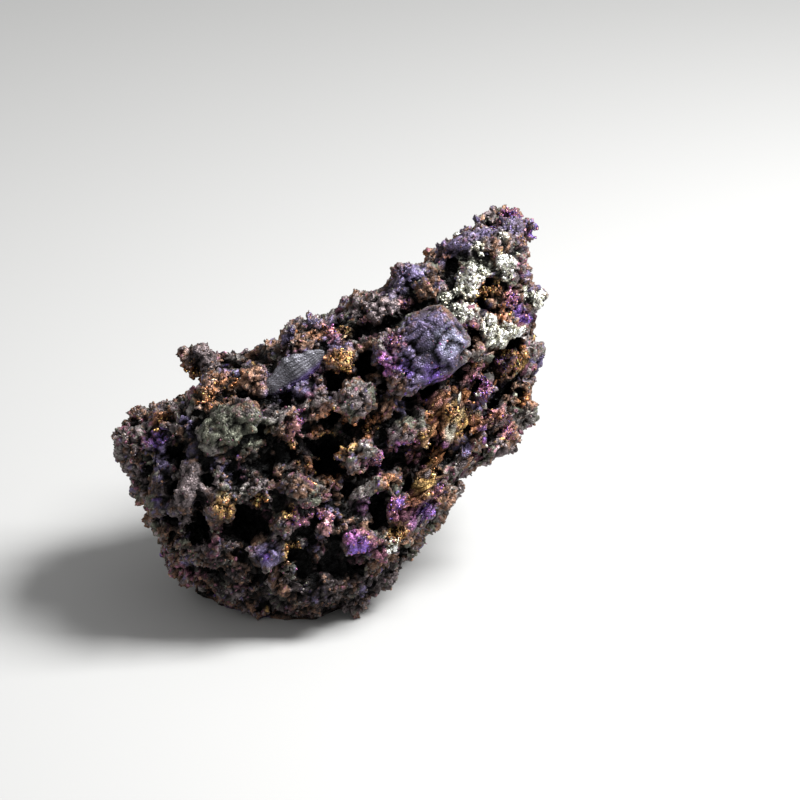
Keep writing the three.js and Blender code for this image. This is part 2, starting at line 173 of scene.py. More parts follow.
def smooth(low, high, value):
    """0 below low, 1 above high, and 3t^2 - 2t^3 between them."""
    part = np.clip((value - low) / (high - low), 0, 1)
    return part * part * (3 - 2 * part)


test_line = np.linspace(0, 9, 400)[:, None] * np.ones(3)
print("soft noise runs", np.round([soft_noise(test_line, 1, 5).min(), soft_noise(test_line, 1, 5).max()], 2))

# %% [markdown]
# ## From arrays to a mesh, and back
#
# A mesh is an array of points and an array of faces. These helpers hand both to Blender in one go,
# and read them back once a modifier has done its work.


# %% Mesh helpers
def mesh_from(name, points, faces):
    """A mesh of these points, whose faces all have as many corners as the array has columns."""
    mesh = bpy.data.meshes.new(name)
    mesh.vertices.add(len(points))
    mesh.vertices.foreach_set("co", np.ascontiguousarray(points, np.float32).ravel())
    mesh.loops.add(faces.size)
    mesh.loops.foreach_set("vertex_index", np.ascontiguousarray(faces, np.int32).ravel())
    mesh.polygons.add(len(faces))
    mesh.polygons.foreach_set("loop_start", np.arange(0, faces.size, faces.shape[1], dtype=np.int32))
    mesh.update(calc_edges=True)
    return mesh


def object_from(name, mesh):
    """The mesh as an object at the origin."""
    made = bpy.data.objects.new(name, mesh)
    bpy.context.collection.objects.link(made)
    return made


def points_of(mesh):
    """All points of a mesh as rows."""
    points = np.empty(3 * len(mesh.vertices), np.float32)
    mesh.vertices.foreach_get("co", points)
    return points.reshape(-1, 3).astype(float)


def triangles_of(mesh):
    """All triangles of a mesh as rows of point numbers."""
    mesh.calc_loop_triangles()
    corners = np.empty(3 * len(mesh.loop_triangles), np.int32)
    mesh.loop_triangles.foreach_get("vertices", corners)
    return corners.reshape(-1, 3)


def normals_of(points, triangles):
    """At each point, the sum of the area vectors of the triangles round it, brought to length 1."""
    corner = points[triangles]
    area = np.cross(corner[:, 1] - corner[:, 0], corner[:, 2] - corner[:, 0])
    total = np.stack([
        np.bincount(triangles.ravel(), np.repeat(area[:, axis], 3), len(points)) for axis in range(3)
    ], 1)
    return total / np.maximum(np.linalg.norm(total, axis=1), 1e-20)[:, None]


def applied(thing, name):
    """The thing's mesh as its modifiers leave it, as a new mesh, and the thing is gone."""
    shown = thing.evaluated_get(bpy.context.evaluated_depsgraph_get())
    mesh = bpy.data.meshes.new_from_object(shown)
    mesh.name = name
    bpy.data.objects.remove(thing)
    return mesh


# %% The solid as one closed skin
def welded(node):
    """The node's loose triangles with equal corners made one."""
    mesh = node.data
    points = points_of(mesh)
    whole = np.round(points / (0.0001 * MM)).astype(np.int64)
    _, first, number = np.unique(whole, axis=0, return_index=True, return_inverse=True)
    return points[first], number.ravel()[triangles_of(mesh)]


solid_points, solid_triangles = welded(frame["nodes"]["chalcocite"])
solid_normals = normals_of(solid_points, solid_triangles)
solid_tree = BVHTree.FromPolygons(solid_points.tolist(), solid_triangles.tolist())


def on_face(across, up):
    """Where the line of sight through this place of the face meets the solid, or else comes nearest."""
    aim = Vector(at_face(across, up, 0) - EYE).normalized()
    hit = solid_tree.ray_cast(Vector(EYE), aim)[0]
    return np.array(hit or solid_tree.find_nearest(Vector(at_face(across, up, -2)))[0])


print("the solid has", len(solid_points), "points and", len(solid_triangles), "triangles")

# %% [markdown]
# ## Knobs
#
# The real skin is a heap of knobs, each one a cluster of smaller knobs. They are balls, stretched
# and dented by soft noise, and sunk into the mass. A ball is an icosahedron whose triangles are cut
# in four and pushed out to the ball again.


# %% A ball of triangles
def ball(cuts):
    """An icosahedron: each cut puts a point at the middle of every edge and pushes all to radius 1."""
    gold = (1 + math.sqrt(5)) / 2
    points = np.array([
        (-1, gold, 0), (1, gold, 0), (-1, -gold, 0), (1, -gold, 0), (0, -1, gold), (0, 1, gold),
        (0, -1, -gold), (0, 1, -gold), (gold, 0, -1), (gold, 0, 1), (-gold, 0, -1), (-gold, 0, 1),
    ], float)
    faces = np.array([
        (0, 11, 5), (0, 5, 1), (0, 1, 7), (0, 7, 10), (0, 10, 11), (1, 5, 9), (5, 11, 4), (11, 10, 2),
        (10, 7, 6), (7, 1, 8), (3, 9, 4), (3, 4, 2), (3, 2, 6), (3, 6, 8), (3, 8, 9), (4, 9, 5),
        (2, 4, 11), (6, 2, 10), (8, 6, 7), (9, 8, 1),
    ])
    for _ in range(cuts):
        a, b, c = faces.T
        edges = np.sort(np.concatenate([np.stack(pair, 1) for pair in ((a, b), (b, c), (c, a))]), axis=1)
        kept, number = np.unique(edges, axis=0, return_inverse=True)
        ab, bc, ca = (number.ravel().reshape(3, -1) + len(points))
        points = np.concatenate([points, points[kept].mean(1)])
        faces = np.concatenate([
            np.stack(corners, 1) for corners in ((a, ab, ca), (b, bc, ab), (c, ca, bc), (ab, bc, ca))
        ])
    return points / np.linalg.norm(points, axis=1)[:, None], faces


def squared(shape, power):
    """The ball pushed out towards a box: each point over the power mean of its three numbers."""
    points, faces = shape
    return points / (np.abs(points) ** power).sum(1)[:, None] ** (1 / power), faces


print("a ball cut twice has", len(ball(2)[1]), "faces")


# %% Turning and heaping copies of one shape
def any_turns(count, rng):
    """Rotation matrices from four random numbers each, read as a quaternion of length 1."""
    w, x, y, z = (lambda q: (q / np.linalg.norm(q, axis=1)[:, None]).T)(rng.normal(size=(count, 4)))
    return np.stack([
        1 - 2 * (y * y + z * z), 2 * (x * y - w * z), 2 * (x * z + w * y),
        2 * (x * y + w * z), 1 - 2 * (x * x + z * z), 2 * (y * z - w * x),
        2 * (x * z - w * y), 2 * (y * z + w * x), 1 - 2 * (x * x + y * y),
    ], 1).reshape(-1, 3, 3)


def heap(shape, centres, sizes, turns, dents=0.0, seed=0):
    """Copies of a shape: each is dented by noise of its own, stretched, turned and put in place."""
    points, faces = shape
    own = np.arange(len(centres))[:, None, None] * 7.31 + seed
    place = (points[None] + own).reshape(-1, 3)
    rough = soft_noise(place, 0.8, seed) + 0.6 * soft_noise(place, 0.4, seed + 1)
    copies = points[None] * (1 + dents * rough.reshape(len(centres), -1, 1)) * sizes[:, None]
    placed = np.einsum("kij,kpj->kpi", turns, copies) + centres[:, None]
    numbered = faces[None] + (np.arange(len(centres)) * len(points))[:, None, None]
    return placed.reshape(-1, 3), numbered.reshape(-1, faces.shape[1])


def spread(points, triangles, count, gap, rng, weight=None):
    """Even places: many picked by area, then only the first that falls in each box of the gap's size."""
    corner = points[triangles]
    area = np.linalg.norm(np.cross(corner[:, 1] - corner[:, 0], corner[:, 2] - corner[:, 0]), axis=1)
    if weight is not None:
        area = area * weight
    which = rng.choice(len(triangles), count, p=area / area.sum())
    share = rng.dirichlet((1, 1, 1), count)
    places = np.einsum("kc,kcx->kx", share, corner[which])
    if gap:
        box = np.floor(places / gap + rng.random(3)).astype(np.int64)
        _, first = np.unique(box, axis=0, return_index=True)
        which, places = which[first], places[first]
    return places, which


def unit(vectors):
    """Each row brought to length 1."""
    return vectors / np.maximum(np.linalg.norm(vectors, axis=1), 1e-20)[:, None]


print("ready to heap")

# %% [markdown]
# The forms of the broad face that can be told apart are listed by their place: the block with its
# smooth right half, the heads and clusters, and the plates. Each is a ball, some pushed out towards
# a box, with a few knobs of its own. The deep places between them are listed too.

# %% The forms and the deep places of the broad face
# Forms: across, up, half length, half width, half depth in mm, turn in degrees, squareness, knobs,
# and how calm the skin is, 0 to 1
FORMS = {
    "block": (2.5, 6.0, 5.7, 4.1, 3.4, 32, 3.8, 0, 0.9),
    "ball under the block": (-5.4, 0.2, 2.4, 2.2, 2.0, 60, 2.3, 10, 0.45),
    "cluster under the blade": (-10.6, -0.4, 2.6, 2.4, 2.1, 100, 2.3, 12, 0.35),
    "small cluster": (-14.3, -2.9, 2.1, 1.8, 1.6, 20, 2.2, 10, 0.25),
    "left head, left lobe": (-25.2, 4.9, 1.4, 1.3, 1.4, 90, 2.0, 6, 0.1),
    "left head, middle lobe": (-23.6, 5.3, 1.4, 1.2, 1.4, 60, 2.0, 6, 0.1),
    "left head, right lobe": (-22.3, 4.1, 1.3, 1.2, 1.3, 120, 2.0, 6, 0.1),
    "ridge knob": (-13.1, 8.2, 1.1, 0.9, 1.2, 0, 2.0, 5, 0.1),
    "dark ball": (-1.9, 10.5, 1.8, 1.8, 1.7, 45, 2.0, 14, 0.2),
    "near head": (-20.6, -3.2, 4.4, 2.3, 2.0, 38, 2.6, 6, 0.62),
    "near head's foot": (-23.4, -6.4, 2.2, 1.9, 1.8, 70, 2.4, 4, 0.55),
    "first long lump": (-25.4, -10.6, 3.3, 1.5, 1.7, 72, 2.4, 2, 0.7),
    "second long lump": (-28.9, -11.2, 3.2, 1.6, 1.6, 85, 2.4, 2, 0.7),
    "gold chunk": (-22.0, -12.9, 2.3, 1.8, 1.8, 110, 2.6, 4, 0.55),
    "small ball": (-22.1, -8.8, 1.2, 1.1, 1.2, 0, 2.0, 3, 0.3),
    "brown lump": (-13.9, -14.5, 2.2, 1.7, 1.7, 10, 2.4, 5, 0.55),
    "violet lump": (-15.8, -18.0, 2.5, 2.1, 1.9, 40, 2.2, 6, 0.55),
    "stalk lump": (-12.0, -11.0, 2.5, 1.5, 1.5, -22, 2.4, 8, 0.3),
    "grey ridge": (-3.6, -10.4, 3.0, 1.3, 1.6, 33, 2.4, 5, 0.5),
    "plum lump": (-4.8, -6.8, 2.4, 2.0, 1.9, 30, 2.4, 10, 0.35),
    "pink ledge": (0.4, -3.6, 2.4, 1.4, 1.6, 20, 2.8, 4, 0.45),
    "slate plate": (2.2, -2.9, 2.4, 0.9, 1.6, 78, 3.0, 0, 0.8),
    "slate edge": (5.8, -12.0, 2.9, 1.0, 1.4, 52, 3.0, 0, 0.7),
    "violet splinter": (-0.5, -13.0, 2.0, 1.0, 1.4, 75, 3.0, 2, 0.6),
    "bright violet lump": (-4.7, -17.0, 2.3, 1.5, 1.5, 15, 2.8, 2, 0.6),
    "gilt knob": (-0.4, -16.4, 1.4, 0.9, 1.2, 80, 2.4, 3, 0.1),
    "warm knobs": (-7.4, 4.4, 1.6, 1.3, 1.4, 10, 2.2, 10, 0.1),
    "knobs left of the block": (-2.8, 6.9, 1.6, 1.1, 1.3, 35, 2.2, 8, 0.1),
    "pinkish knob": (0.4, 11.2, 1.3, 1.0, 1.2, 20, 2.2, 6, 0.1),
    "grey brown knob": (3.4, 13.2, 1.9, 1.4, 1.5, 25, 2.2, 10, 0.1),
    "ridge sheen": (3.1, 15.2, 1.8, 1.0, 1.3, 40, 2.4, 3, 0.6),
    "shoulder of the horn": (7.6, 18.7, 1.9, 1.2, 1.4, 35, 2.4, 4, 0.5),
    "neck of the horn": (12.8, 19.8, 2.6, 1.7, 1.8, 62, 2.6, 6, 0.5),
    "right knob": (16.4, 11.8, 1.5, 0.9, 1.2, 95, 2.6, 3, 0.3),
    "grey nugget": (9.5, 5.4, 1.2, 1.0, 1.1, 20, 3.0, 3, 0.1),
    "right foot": (14.8, -2.4, 1.8, 1.3, 1.4, 40, 2.4, 8, 0.1),
    "right glinting lump": (11.4, -5.4, 2.4, 1.6, 1.6, 30, 2.4, 10, 0.2),
    "low mass": (-9.6, -22.6, 2.8, 2.0, 1.8, 0, 2.4, 10, 0.3),
    "low left mass": (-19.5, -19.5, 2.4, 1.8, 1.8, 100, 2.4, 8, 0.3),
}
# Deep places: across, up, half length, half width, depth in mm, turn in degrees
DEEPS = [
    (-4.3, 4.2, 1.6, 1.2, 2.6, 60), (-7.8, -0.4, 2.3, 0.7, 2.2, 85), (-8.6, -7.2, 2.5, 1.9, 2.8, 80),
    (-23.9, -16.4, 3.5, 1.5, 2.6, 80), (-18.6, -14.4, 3.2, 1.2, 2.4, 85), (-2.4, -13.4, 1.8, 1.1, 2.4, 70),
    (-7.2, -20.6, 3.4, 2.0, 2.4, 10), (11.1, 11.9, 1.9, 1.2, 4.0, 80), (-26.6, -6.4, 1.8, 1.2, 2.0, 20),
    (-16.6, -8.4, 2.0, 1.3, 2.2, 40), (-0.4, 1.7, 1.6, 0.8, 2.2, 15), (7.8, 6.4, 1.3, 0.4, 1.6, 85),
    (17.2, 6.2, 2.6, 1.4, 0.5, 90), (-11.2, -20.4, 1.7, 1.2, 2.2, 90), (-17.4, 0.6, 1.8, 0.7, 1.4, 10),
    (7.6, -5.8, 2.6, 0.8, 2.8, 43),
    (8.4, -4.9, 1.0, 0.9, 2.4, 40), (12.2, 4.6, 3.9, 0.75, 3.0, 53), (11.9, 0.4, 2.8, 0.65, 2.8, 59),
    (8.8, 0.5, 1.7, 0.42, 2.2, 72), (13.3, 0.1, 1.4, 0.45, 2.2, 85), (14.7, 2.0, 1.1, 0.5, 2.0, 80),
    (14.6, -1.7, 1.1, 0.7, 1.6, 60), (2.9, 1.6, 1.2, 0.7, 2.0, 20), (6.3, 2.6, 1.4, 0.5, 1.8, 35),
    (-12.8, -6.6, 1.3, 0.9, 2.0, 20), (-16.8, -16.0, 1.6, 0.8, 2.0, 30), (-20.0, -15.8, 1.0, 1.6, 2.0, 90),
    (-26.9, -12.4, 2.6, 0.6, 2.0, 80), (-24.0, -9.0, 1.8, 0.6, 2.0, 75), (-19.8, -10.4, 1.2, 0.8, 2.0, 60),
    (-11.8, 1.0, 1.8, 0.5, 1.6, 30), (-6.0, -3.0, 1.3, 0.5, 1.4, 20), (-1.9, 3.0, 0.9, 0.9, 1.8, 0),
    (-1.4, -8.0, 1.1, 0.6, 1.6, 60), (3.4, -6.0, 1.5, 0.4, 1.6, 65), (1.0, -9.4, 1.6, 0.5, 1.6, 70),
    (-10.6, -15.8, 1.4, 0.8, 2.0, 60), (-7.8, -16.4, 1.4, 0.8, 1.8, 40), (-27.0, 0.6, 1.2, 0.5, 1.4, 10),
    (3.6, -16.0, 1.8, 0.7, 1.8, 55), (-16.8, 5.6, 1.6, 0.6, 1.4, 20), (-20.4, 4.9, 0.6, 0.8, 1.2, 90),
]
# The one striped blade, in mm and degrees
BLADE = {"across": -12.8, "up": 3.3, "turn": 35, "half_length": 4.4, "half_width": 2.0}
# The way that the ledges and slats of the broken right side run on the face
RUN = math.radians(56)


def turn_on_face(degrees):
    """The turn whose first axis lies on the face at this angle, and whose third points out of it."""
    angle = math.radians(degrees)
    long_way = math.cos(angle) * ACROSS + math.sin(angle) * UP
    wide_way = -math.sin(angle) * ACROSS + math.cos(angle) * UP
    return np.stack([long_way, wide_way, OUT], 1)


def in_deep(points):
    """How deep each point of the front is in the deep places, 0 to 1, and the depth there in mm."""
    seen, face = seen_of(points), face_of(points)
    share, depth = np.zeros(len(points)), np.zeros(len(points))
    for across, up, length, width, most, turn in DEEPS:
        x, y = seen[:, 0] - across, seen[:, 1] - up
        cos, sin = math.cos(math.radians(turn)), math.sin(math.radians(turn))
        far = np.hypot((x * cos + y * sin) / length, (y * cos - x * sin) / width)
        here = (1 - smooth(0.7, 1.35, far)) * smooth(-12, -8, face[:, 2])
        share, depth = np.maximum(share, here), np.maximum(depth, here * most)
    return share, depth


# The band of ledges: across, up and half width in mm at each bend
BAND = [(13.6, 8.6, 2.2), (11.4, 4.0, 4.0), (8.6, -1.4, 4.2), (4.4, -7.0, 2.6), (1.6, -13.2, 1.8)]


def ledge_share(points):
    """How much of a ledge a place of the front is, 0 to 1: its distance to the band's bent line."""
    seen = seen_of(points)
    share = np.zeros(len(points))
    for (x0, y0, wide0), (x1, y1, wide1) in zip(BAND[:-1], BAND[1:]):
        run = np.array([x1 - x0, y1 - y0])
        along = np.clip(((seen - (x0, y0)) @ run) / (run @ run), 0, 1)
        far = np.linalg.norm(seen - (x0, y0) - along[:, None] * run, axis=1)
        far = far / (wide0 + (wide1 - wide0) * along) + 0.15 * soft_noise(points, 2.5 * MM, 31)
        share = np.maximum(share, 1 - smooth(0.75, 1.1, far))
    return share * smooth(-10, -7, face_of(points)[:, 2])


print("share of the solid's points on ledges:", ledge_share(solid_points).mean().round(2))

# %% Sink the mass, and deepen its hollows
# A point's relief is its way from the mean middle of the triangles round it
solid_middles = solid_points[solid_triangles].mean(1)
corners = solid_triangles.ravel()
touching = np.bincount(corners, minlength=len(solid_points))
solid_relief = solid_points - np.stack([
    np.bincount(corners, np.repeat(solid_middles[:, axis], 3), len(solid_points)) / touching
    for axis in range(3)
], 1)
hollow = smooth(0.05, -0.25, np.einsum("ij,ij->i", solid_relief, solid_normals) / MM)
LEAST_SINK = 0.7
SWELL_SIZE = 3.2 * MM
swell = 0.5 * soft_noise(solid_points, SWELL_SIZE, 40)
sink = LEAST_SINK + 0.4 * hollow + 0.7 * ledge_share(solid_points) + swell
mass_points = solid_points - (MM * sink)[:, None] * solid_normals
mass_points -= (0.7 * MM * in_deep(solid_points)[1])[:, None] * OUT
resting = solid_points[:, 2] < 0.4 * MM
mass_points[:, 2] = np.where(resting, solid_points[:, 2], np.maximum(mass_points[:, 2], 0.3 * MM))
grown = [(mass_points, solid_triangles)]
print("the mass is sunk by", (sink.mean()).round(2), "mm")

# %% Put the forms on it
rng = np.random.default_rng(11)
form_places, form_reach, form_turns, knob_centres, knob_sizes = [], [], [], [], []
for across, up, length, width, depth, turn, power, knobs, calm in FORMS.values():
    half = MM * np.array([length, width, depth])
    turned = turn_on_face(turn)
    centre = on_face(across, up) - 0.8 * MM * depth * OUT
    form_places.append(centre)
    form_reach.append(half)
    form_turns.append(turned)
    shape, dents = squared(ball(4), power), 0.16 - 0.14 * calm
    grown.append(heap(shape, centre[None], half[None], turned[None], dents, seed=len(grown)))
    ways = unit(rng.normal(size=(knobs, 3)) + (0, 0, 0.7))
    knob_centres.append(centre + 0.9 * (ways * half) @ turned.T)
    size, stretch = rng.uniform(0.45, 0.95, (knobs, 1)), rng.uniform(0.8, 1.25, (knobs, 3))
    knob_sizes.append(0.5 * half.min() * size * stretch)
knob_centres, knob_sizes = np.concatenate(knob_centres), np.concatenate(knob_sizes)
knob_turns = any_turns(len(knob_centres), rng)
grown.append(heap(squared(ball(2), 3.5), knob_centres, knob_sizes, knob_turns, dents=0.22, seed=77))
print(len(FORMS), "forms with", len(knob_centres), "knobs")


# %% Heap loose knobs on the rest
def in_form(points, number):
    """Each point in the form's own three directions, in its half sizes."""
    return (points - form_places[number]) @ form_turns[number] / form_reach[number]


def form_distance(points, number):
    """How far each point is from the form's middle, in its half sizes."""
    return np.linalg.norm(in_form(points, number), axis=1)


def from_forms(points):
    """How far each point is from the nearest form, in that form's half sizes."""
    return np.min([form_distance(points, number) for number in range(len(FORMS))], axis=0)


# Layers of knobs: how far apart they are and their least and most radius in mm, how clear of a form
# they stay in its half sizes, and how often a ball is cut
KNOB_LAYERS = [
    {"name": "boulders", "gap": 3.2, "least": 1.1, "most": 1.9, "clear": 1.25, "cuts": 3},
    {"name": "knobs", "gap": 1.8, "least": 0.6, "most": 1.15, "clear": 1.12, "cuts": 3},
    {"name": "beads", "gap": 1.1, "least": 0.35, "most": 0.65, "clear": 1.05, "cuts": 2},
]
blade_seen = np.array([BLADE["across"], BLADE["up"]])
blade_out = face_of(on_face(*blade_seen)[None])[0, 2]
BLADE_ROOM = (4.2, 3.2)  # mm across and up round the blade's middle that loose knobs leave free
BEHIND_BLADE = 1.6  # mm behind the blade's middle where they are let in again
for layer in KNOB_LAYERS:
    places, which = spread(solid_points, solid_triangles, 40000, layer["gap"] * MM, rng)
    facing = unit(solid_normals[solid_triangles[which]].mean(1))
    sunk = np.einsum("ij,ij->i", (solid_points - mass_points)[solid_triangles[which]].mean(1), facing)
    off_blade = np.linalg.norm((seen_of(places) - blade_seen) / BLADE_ROOM, axis=1) > 1
    keep = (off_blade | (face_of(places)[:, 2] < blade_out - BEHIND_BLADE)) & (places[:, 2] > 0.8 * MM)
    keep &= (from_forms(places) > layer["clear"]) & (rng.random(len(places)) > 1.6 * in_deep(places)[0])
    swell = smooth(0.0, 0.5, soft_noise(places, SWELL_SIZE, 40))
    keep &= rng.random(len(places)) > 0.7 * ledge_share(places) + 0.6 * swell
    places, facing, sunk = places[keep], facing[keep], sunk[keep]
    radius = MM * (layer["least"] + (layer["most"] - layer["least"]) * rng.random(len(places)) ** 1.5)
    sizes = radius[:, None] * rng.uniform(0.6, 1.3, (len(places), 3))
    depth = np.maximum(sizes.max(1) + MM * rng.uniform(0, 0.6, len(places)), sunk - 0.35 * radius)
    centres = places - depth[:, None] * facing
    turns = any_turns(len(places), rng)
    for kind, shape in enumerate((ball(layer["cuts"]), squared(ball(layer["cuts"]), 4.0))):
        mine = slice(kind, None, 2)
        grown.append(heap(shape, centres[mine], sizes[mine], turns[mine], dents=0.24, seed=3 + kind))
    print(layer["name"], len(places))

# %% [markdown]
# ## Fusing the heap
#
# Hundreds of balls that overlap are not one skin yet. A voxel remesh walks round the outside of all
# of them and lays one closed mesh over it. Booleans could join them too, but not in seconds.

# %% Fuse
def joined(parts):
    """One array of points and one of faces: each part's numbers start after the last part's."""
    starts = np.cumsum([0] + [len(points) for points, _ in parts[:-1]])
    points = np.concatenate([points for points, _ in parts])
    return points, np.concatenate([faces + start for (_, faces), start in zip(parts, starts)])


VOXEL = 0.24 * MM
heaped = object_from("heap", mesh_from("heap", *joined(grown)))
fuse = heaped.modifiers.new("fuse", "REMESH")
fuse.mode = "VOXEL"
fuse.voxel_size = VOXEL
fused = applied(heaped, "fused")
print("the fused skin has", len(fused.vertices), "points")

# %% [markdown]
# ## Fine relief
#
# Under a lens every knob is a cluster of grains with flat faces. Three sizes of cell noise tilt the
# skin into such faces, the two smaller ones round them a little, cracks run where two cells meet,
# and soft noise makes it all uneven. This pushes nothing out by more than half a millimetre, and
# the ledges of the right side then add up to about 0.4 mm. Calm forms, such as the smooth half of
# the block, keep little but the broad faces.
# The relief of a place is how far it stands out from the middle of what is round it, and the
# colours use it later for painted shade: gaps are painted dark.


# %% Push the skin out
def dome(first, reach):
    """A ball's cap over each spot: the root of 1 minus the squared distance over the reach."""
    return np.sqrt(np.clip(1 - (first / reach) ** 2, 0, 1))


BLOCK = list(FORMS).index("block")


def block_share(points):
    """1 on the smooth right half of the block and 0 on its grainy left half and top."""
    away = in_form(points, BLOCK)
    return smooth(-0.35, 0.15, away[:, 0] - 0.35 * away[:, 1])


def calm_of(points):
    """The most calm of the forms at each point, 0 away from them. The block's grows to its smooth half."""
    calm = (0.25 + 0.65 * block_share(points)) * (1 - smooth(1.25, 1.45, form_distance(points, BLOCK)))
    for number, (*_, form_calm) in enumerate(FORMS.values()):
        if number != BLOCK and form_calm > 0.15:
            near = 1 - smooth(1.08, 1.35, form_distance(points, number))
            calm = np.maximum(calm, form_calm * near)
    return calm


skin = points_of(fused)
skin_triangles = triangles_of(fused)
skin_normals = normals_of(skin, skin_triangles)
bent = skin + MM * 0.35 * np.stack([soft_noise(skin, 1.4 * MM, seed) for seed in (50, 51, 52)], 1)
broad, broad_next, _, broad_facet = cell_noise(bent, 2.3 * MM, 55)
coarse, coarse_next, _, coarse_facet = cell_noise(bent, 1.15 * MM, 60)
fine, _, _, fine_facet = cell_noise(bent, 0.56 * MM, 70)
coarse_cracks = 0.35 * (1 - smooth(0.0, 0.16, coarse_next - coarse))
broad_cracks = 0.35 * (1 - smooth(0.0, 0.10, broad_next - broad))
cracks = coarse_cracks + broad_cracks
rugged = 1 - calm_of(skin)
facets = 0.52 * coarse_facet + 0.22 * fine_facet
domes = 0.10 * dome(coarse, 0.95) + 0.05 * dome(fine, 0.85)
height = rugged * (facets + domes - cracks) + (0.5 + 0.2 * rugged) * broad_facet
MOST_HEIGHT = 0.5
height = np.minimum(height + 0.2 * soft_noise(skin, 2.4 * MM, 80) - 0.20, MOST_HEIGHT)
# Ledges are steps across the run with a slot between two, a millimetre lower in a deep place
LEDGE_PITCH = 1.7
ledge = ledge_share(skin)
face = face_of(skin)
aside = face[:, 0] * math.sin(RUN) - face[:, 1] * math.cos(RUN) + 0.6 * soft_noise(skin, 2.6 * MM, 33)
along = face[:, 0] * math.cos(RUN) + face[:, 1] * math.sin(RUN)
step = np.mod(aside / LEDGE_PITCH + 0.25 * np.sin(along / 2.3), 1)
slot = smooth(0.0, 0.22, step) * (1 - smooth(0.86, 1.0, step))
height += ledge * (1.5 * slot * (0.45 + 0.55 * (1 - step)) - 0.95)
height -= ledge * in_deep(skin)[0]
# The skin is left as it is at the floor
foot = smooth(0.2, 1.2, skin[:, 2] / MM)
skin = skin + (MM * height * foot)[:, None] * skin_normals
skin[:, 2] = np.where(skin[:, 2] < 0.25 * MM, 0, skin[:, 2])
print("relief from", height.min().round(2), "to", height.max().round(2), "mm")

# %% Drop loose bits, and thin the mesh out
def largest_piece(count, triangles):
    """For each point, if it hangs together with the most: all take the least number next to them."""
    number = np.arange(count)
    while True:
        least = number[triangles].min(1)
        lower = number.copy()
        for corner in triangles.T:
            np.minimum.at(lower, corner, least)
        lower = lower[lower]
        if (lower == number).all():
            return number == np.bincount(number).argmax()
        number = lower


kept = largest_piece(len(skin), skin_triangles)
keep_triangles = kept[skin_triangles[:, 0]]
used, renumbered = np.unique(skin_triangles[keep_triangles], return_inverse=True)
skin_triangles = renumbered.reshape(-1, 3)
fused = mesh_from("fused", skin[used], skin_triangles)
print("dropped", (~kept).sum(), "points of loose bits")
MOST_TRIANGLES = 380000
rough = object_from("rough", fused)
thin = rough.modifiers.new("thin", "DECIMATE")
thin.ratio = min(1.0, MOST_TRIANGLES / len(skin_triangles))
body_mesh = applied(rough, "chalcocite_body")
body_points = points_of(body_mesh)
body_points[:, 2] = np.maximum(body_points[:, 2], 0)
body_triangles = triangles_of(body_mesh)
body_normals = normals_of(body_points, body_triangles)
print("the body has", len(body_triangles), "triangles")


# %% How far each place stands out
def box_mean(points, values, size):
    """The mean of values over boxes of this size, blended smoothly between neighbouring boxes."""
    place = points / size - 0.5
    base = np.floor(place).astype(np.int64)
    low = base.min(0)
    part = place - base
    base -= low
    shape = base.max(0) + 2
    total = np.zeros((np.prod(shape), values.shape[1] + 1))
    corners = []
    for corner in np.ndindex(2, 2, 2):
        share = np.prod(np.where(np.array(corner) == 1, part, 1 - part), axis=1)
        number = np.ravel_multi_index((base + np.array(corner)).T, shape)
        corners.append((share, number))
        for column in range(values.shape[1]):
            total[:, column] += np.bincount(number, share * values[:, column], len(total))
        total[:, -1] += np.bincount(number, share, len(total))
    mean = sum(share[:, None] * total[number] for share, number in corners)
    return mean[:, :-1] / mean[:, -1:]


def relief_of(points, normals, size):
    """The way from the mean of the neighbourhood to the point, along the neighbourhood's own normal."""
    mean = box_mean(points, np.concatenate([points, normals], 1), size)
    return np.einsum("ij,ij->i", points - mean[:, :3], unit(mean[:, 3:]))


RELIEF_SIZES = (4.5, 2.0, 0.8)
deep_relief, wide_relief, close_relief = (
    relief_of(body_points, body_normals, size * MM) / MM for size in RELIEF_SIZES
)
for relief in (deep_relief, wide_relief, close_relief):
    print("relief, mm:", np.percentile(relief, [5, 25, 50, 75, 95]).round(2))

# %% [markdown]
# ## Colours of the tarnish, and painted shade
#
# Fresh chalcocite is lead grey. Where it has tarnished, a film thinner than a wave of light colours
# it gold, copper, pink, purple or blue by its thickness. Each patch below is a ball in space that
# sits on the skin. The film differs from grain to grain, so each grain of a patch takes more or
# less of its colour. The first twelve patches are large and near black: they are painted shade that
# darkens the lower left, the bottom, the ridge and the block, on a guess that the darkness seen
# there is tarnish as well as shadow. The gaps between knobs get painted shade, nearly black by
# their relief, which helps the lamps' own shadows.

# %% Finishes by name, as light that comes back in red, green and blue
TINTS = {
    "slate": (0.093, 0.075, 0.077),
    "ash": (0.13, 0.118, 0.112),
    "umber": (0.108, 0.062, 0.042),
    "moss": (0.072, 0.074, 0.057),
    "plum": (0.130, 0.055, 0.078),
    # Near black: painted shade in the first twelve patches, and a black tone of some slats and grains
    "black_and_painted_shade": (0.012, 0.009, 0.009),
    "dusk": (0.085, 0.070, 0.125),
    "violet": (0.15, 0.085, 0.33),
    "magenta": (0.36, 0.14, 0.36),
    "rose": (0.40, 0.19, 0.20),
    "copper": (0.30, 0.138, 0.072),
    "rust": (0.20, 0.085, 0.036),
    "gilt": (0.52, 0.33, 0.12),
    "steel": (0.17, 0.17, 0.235),
    "cream": (0.66, 0.62, 0.50),
    "silver": (0.72, 0.73, 0.62),
}
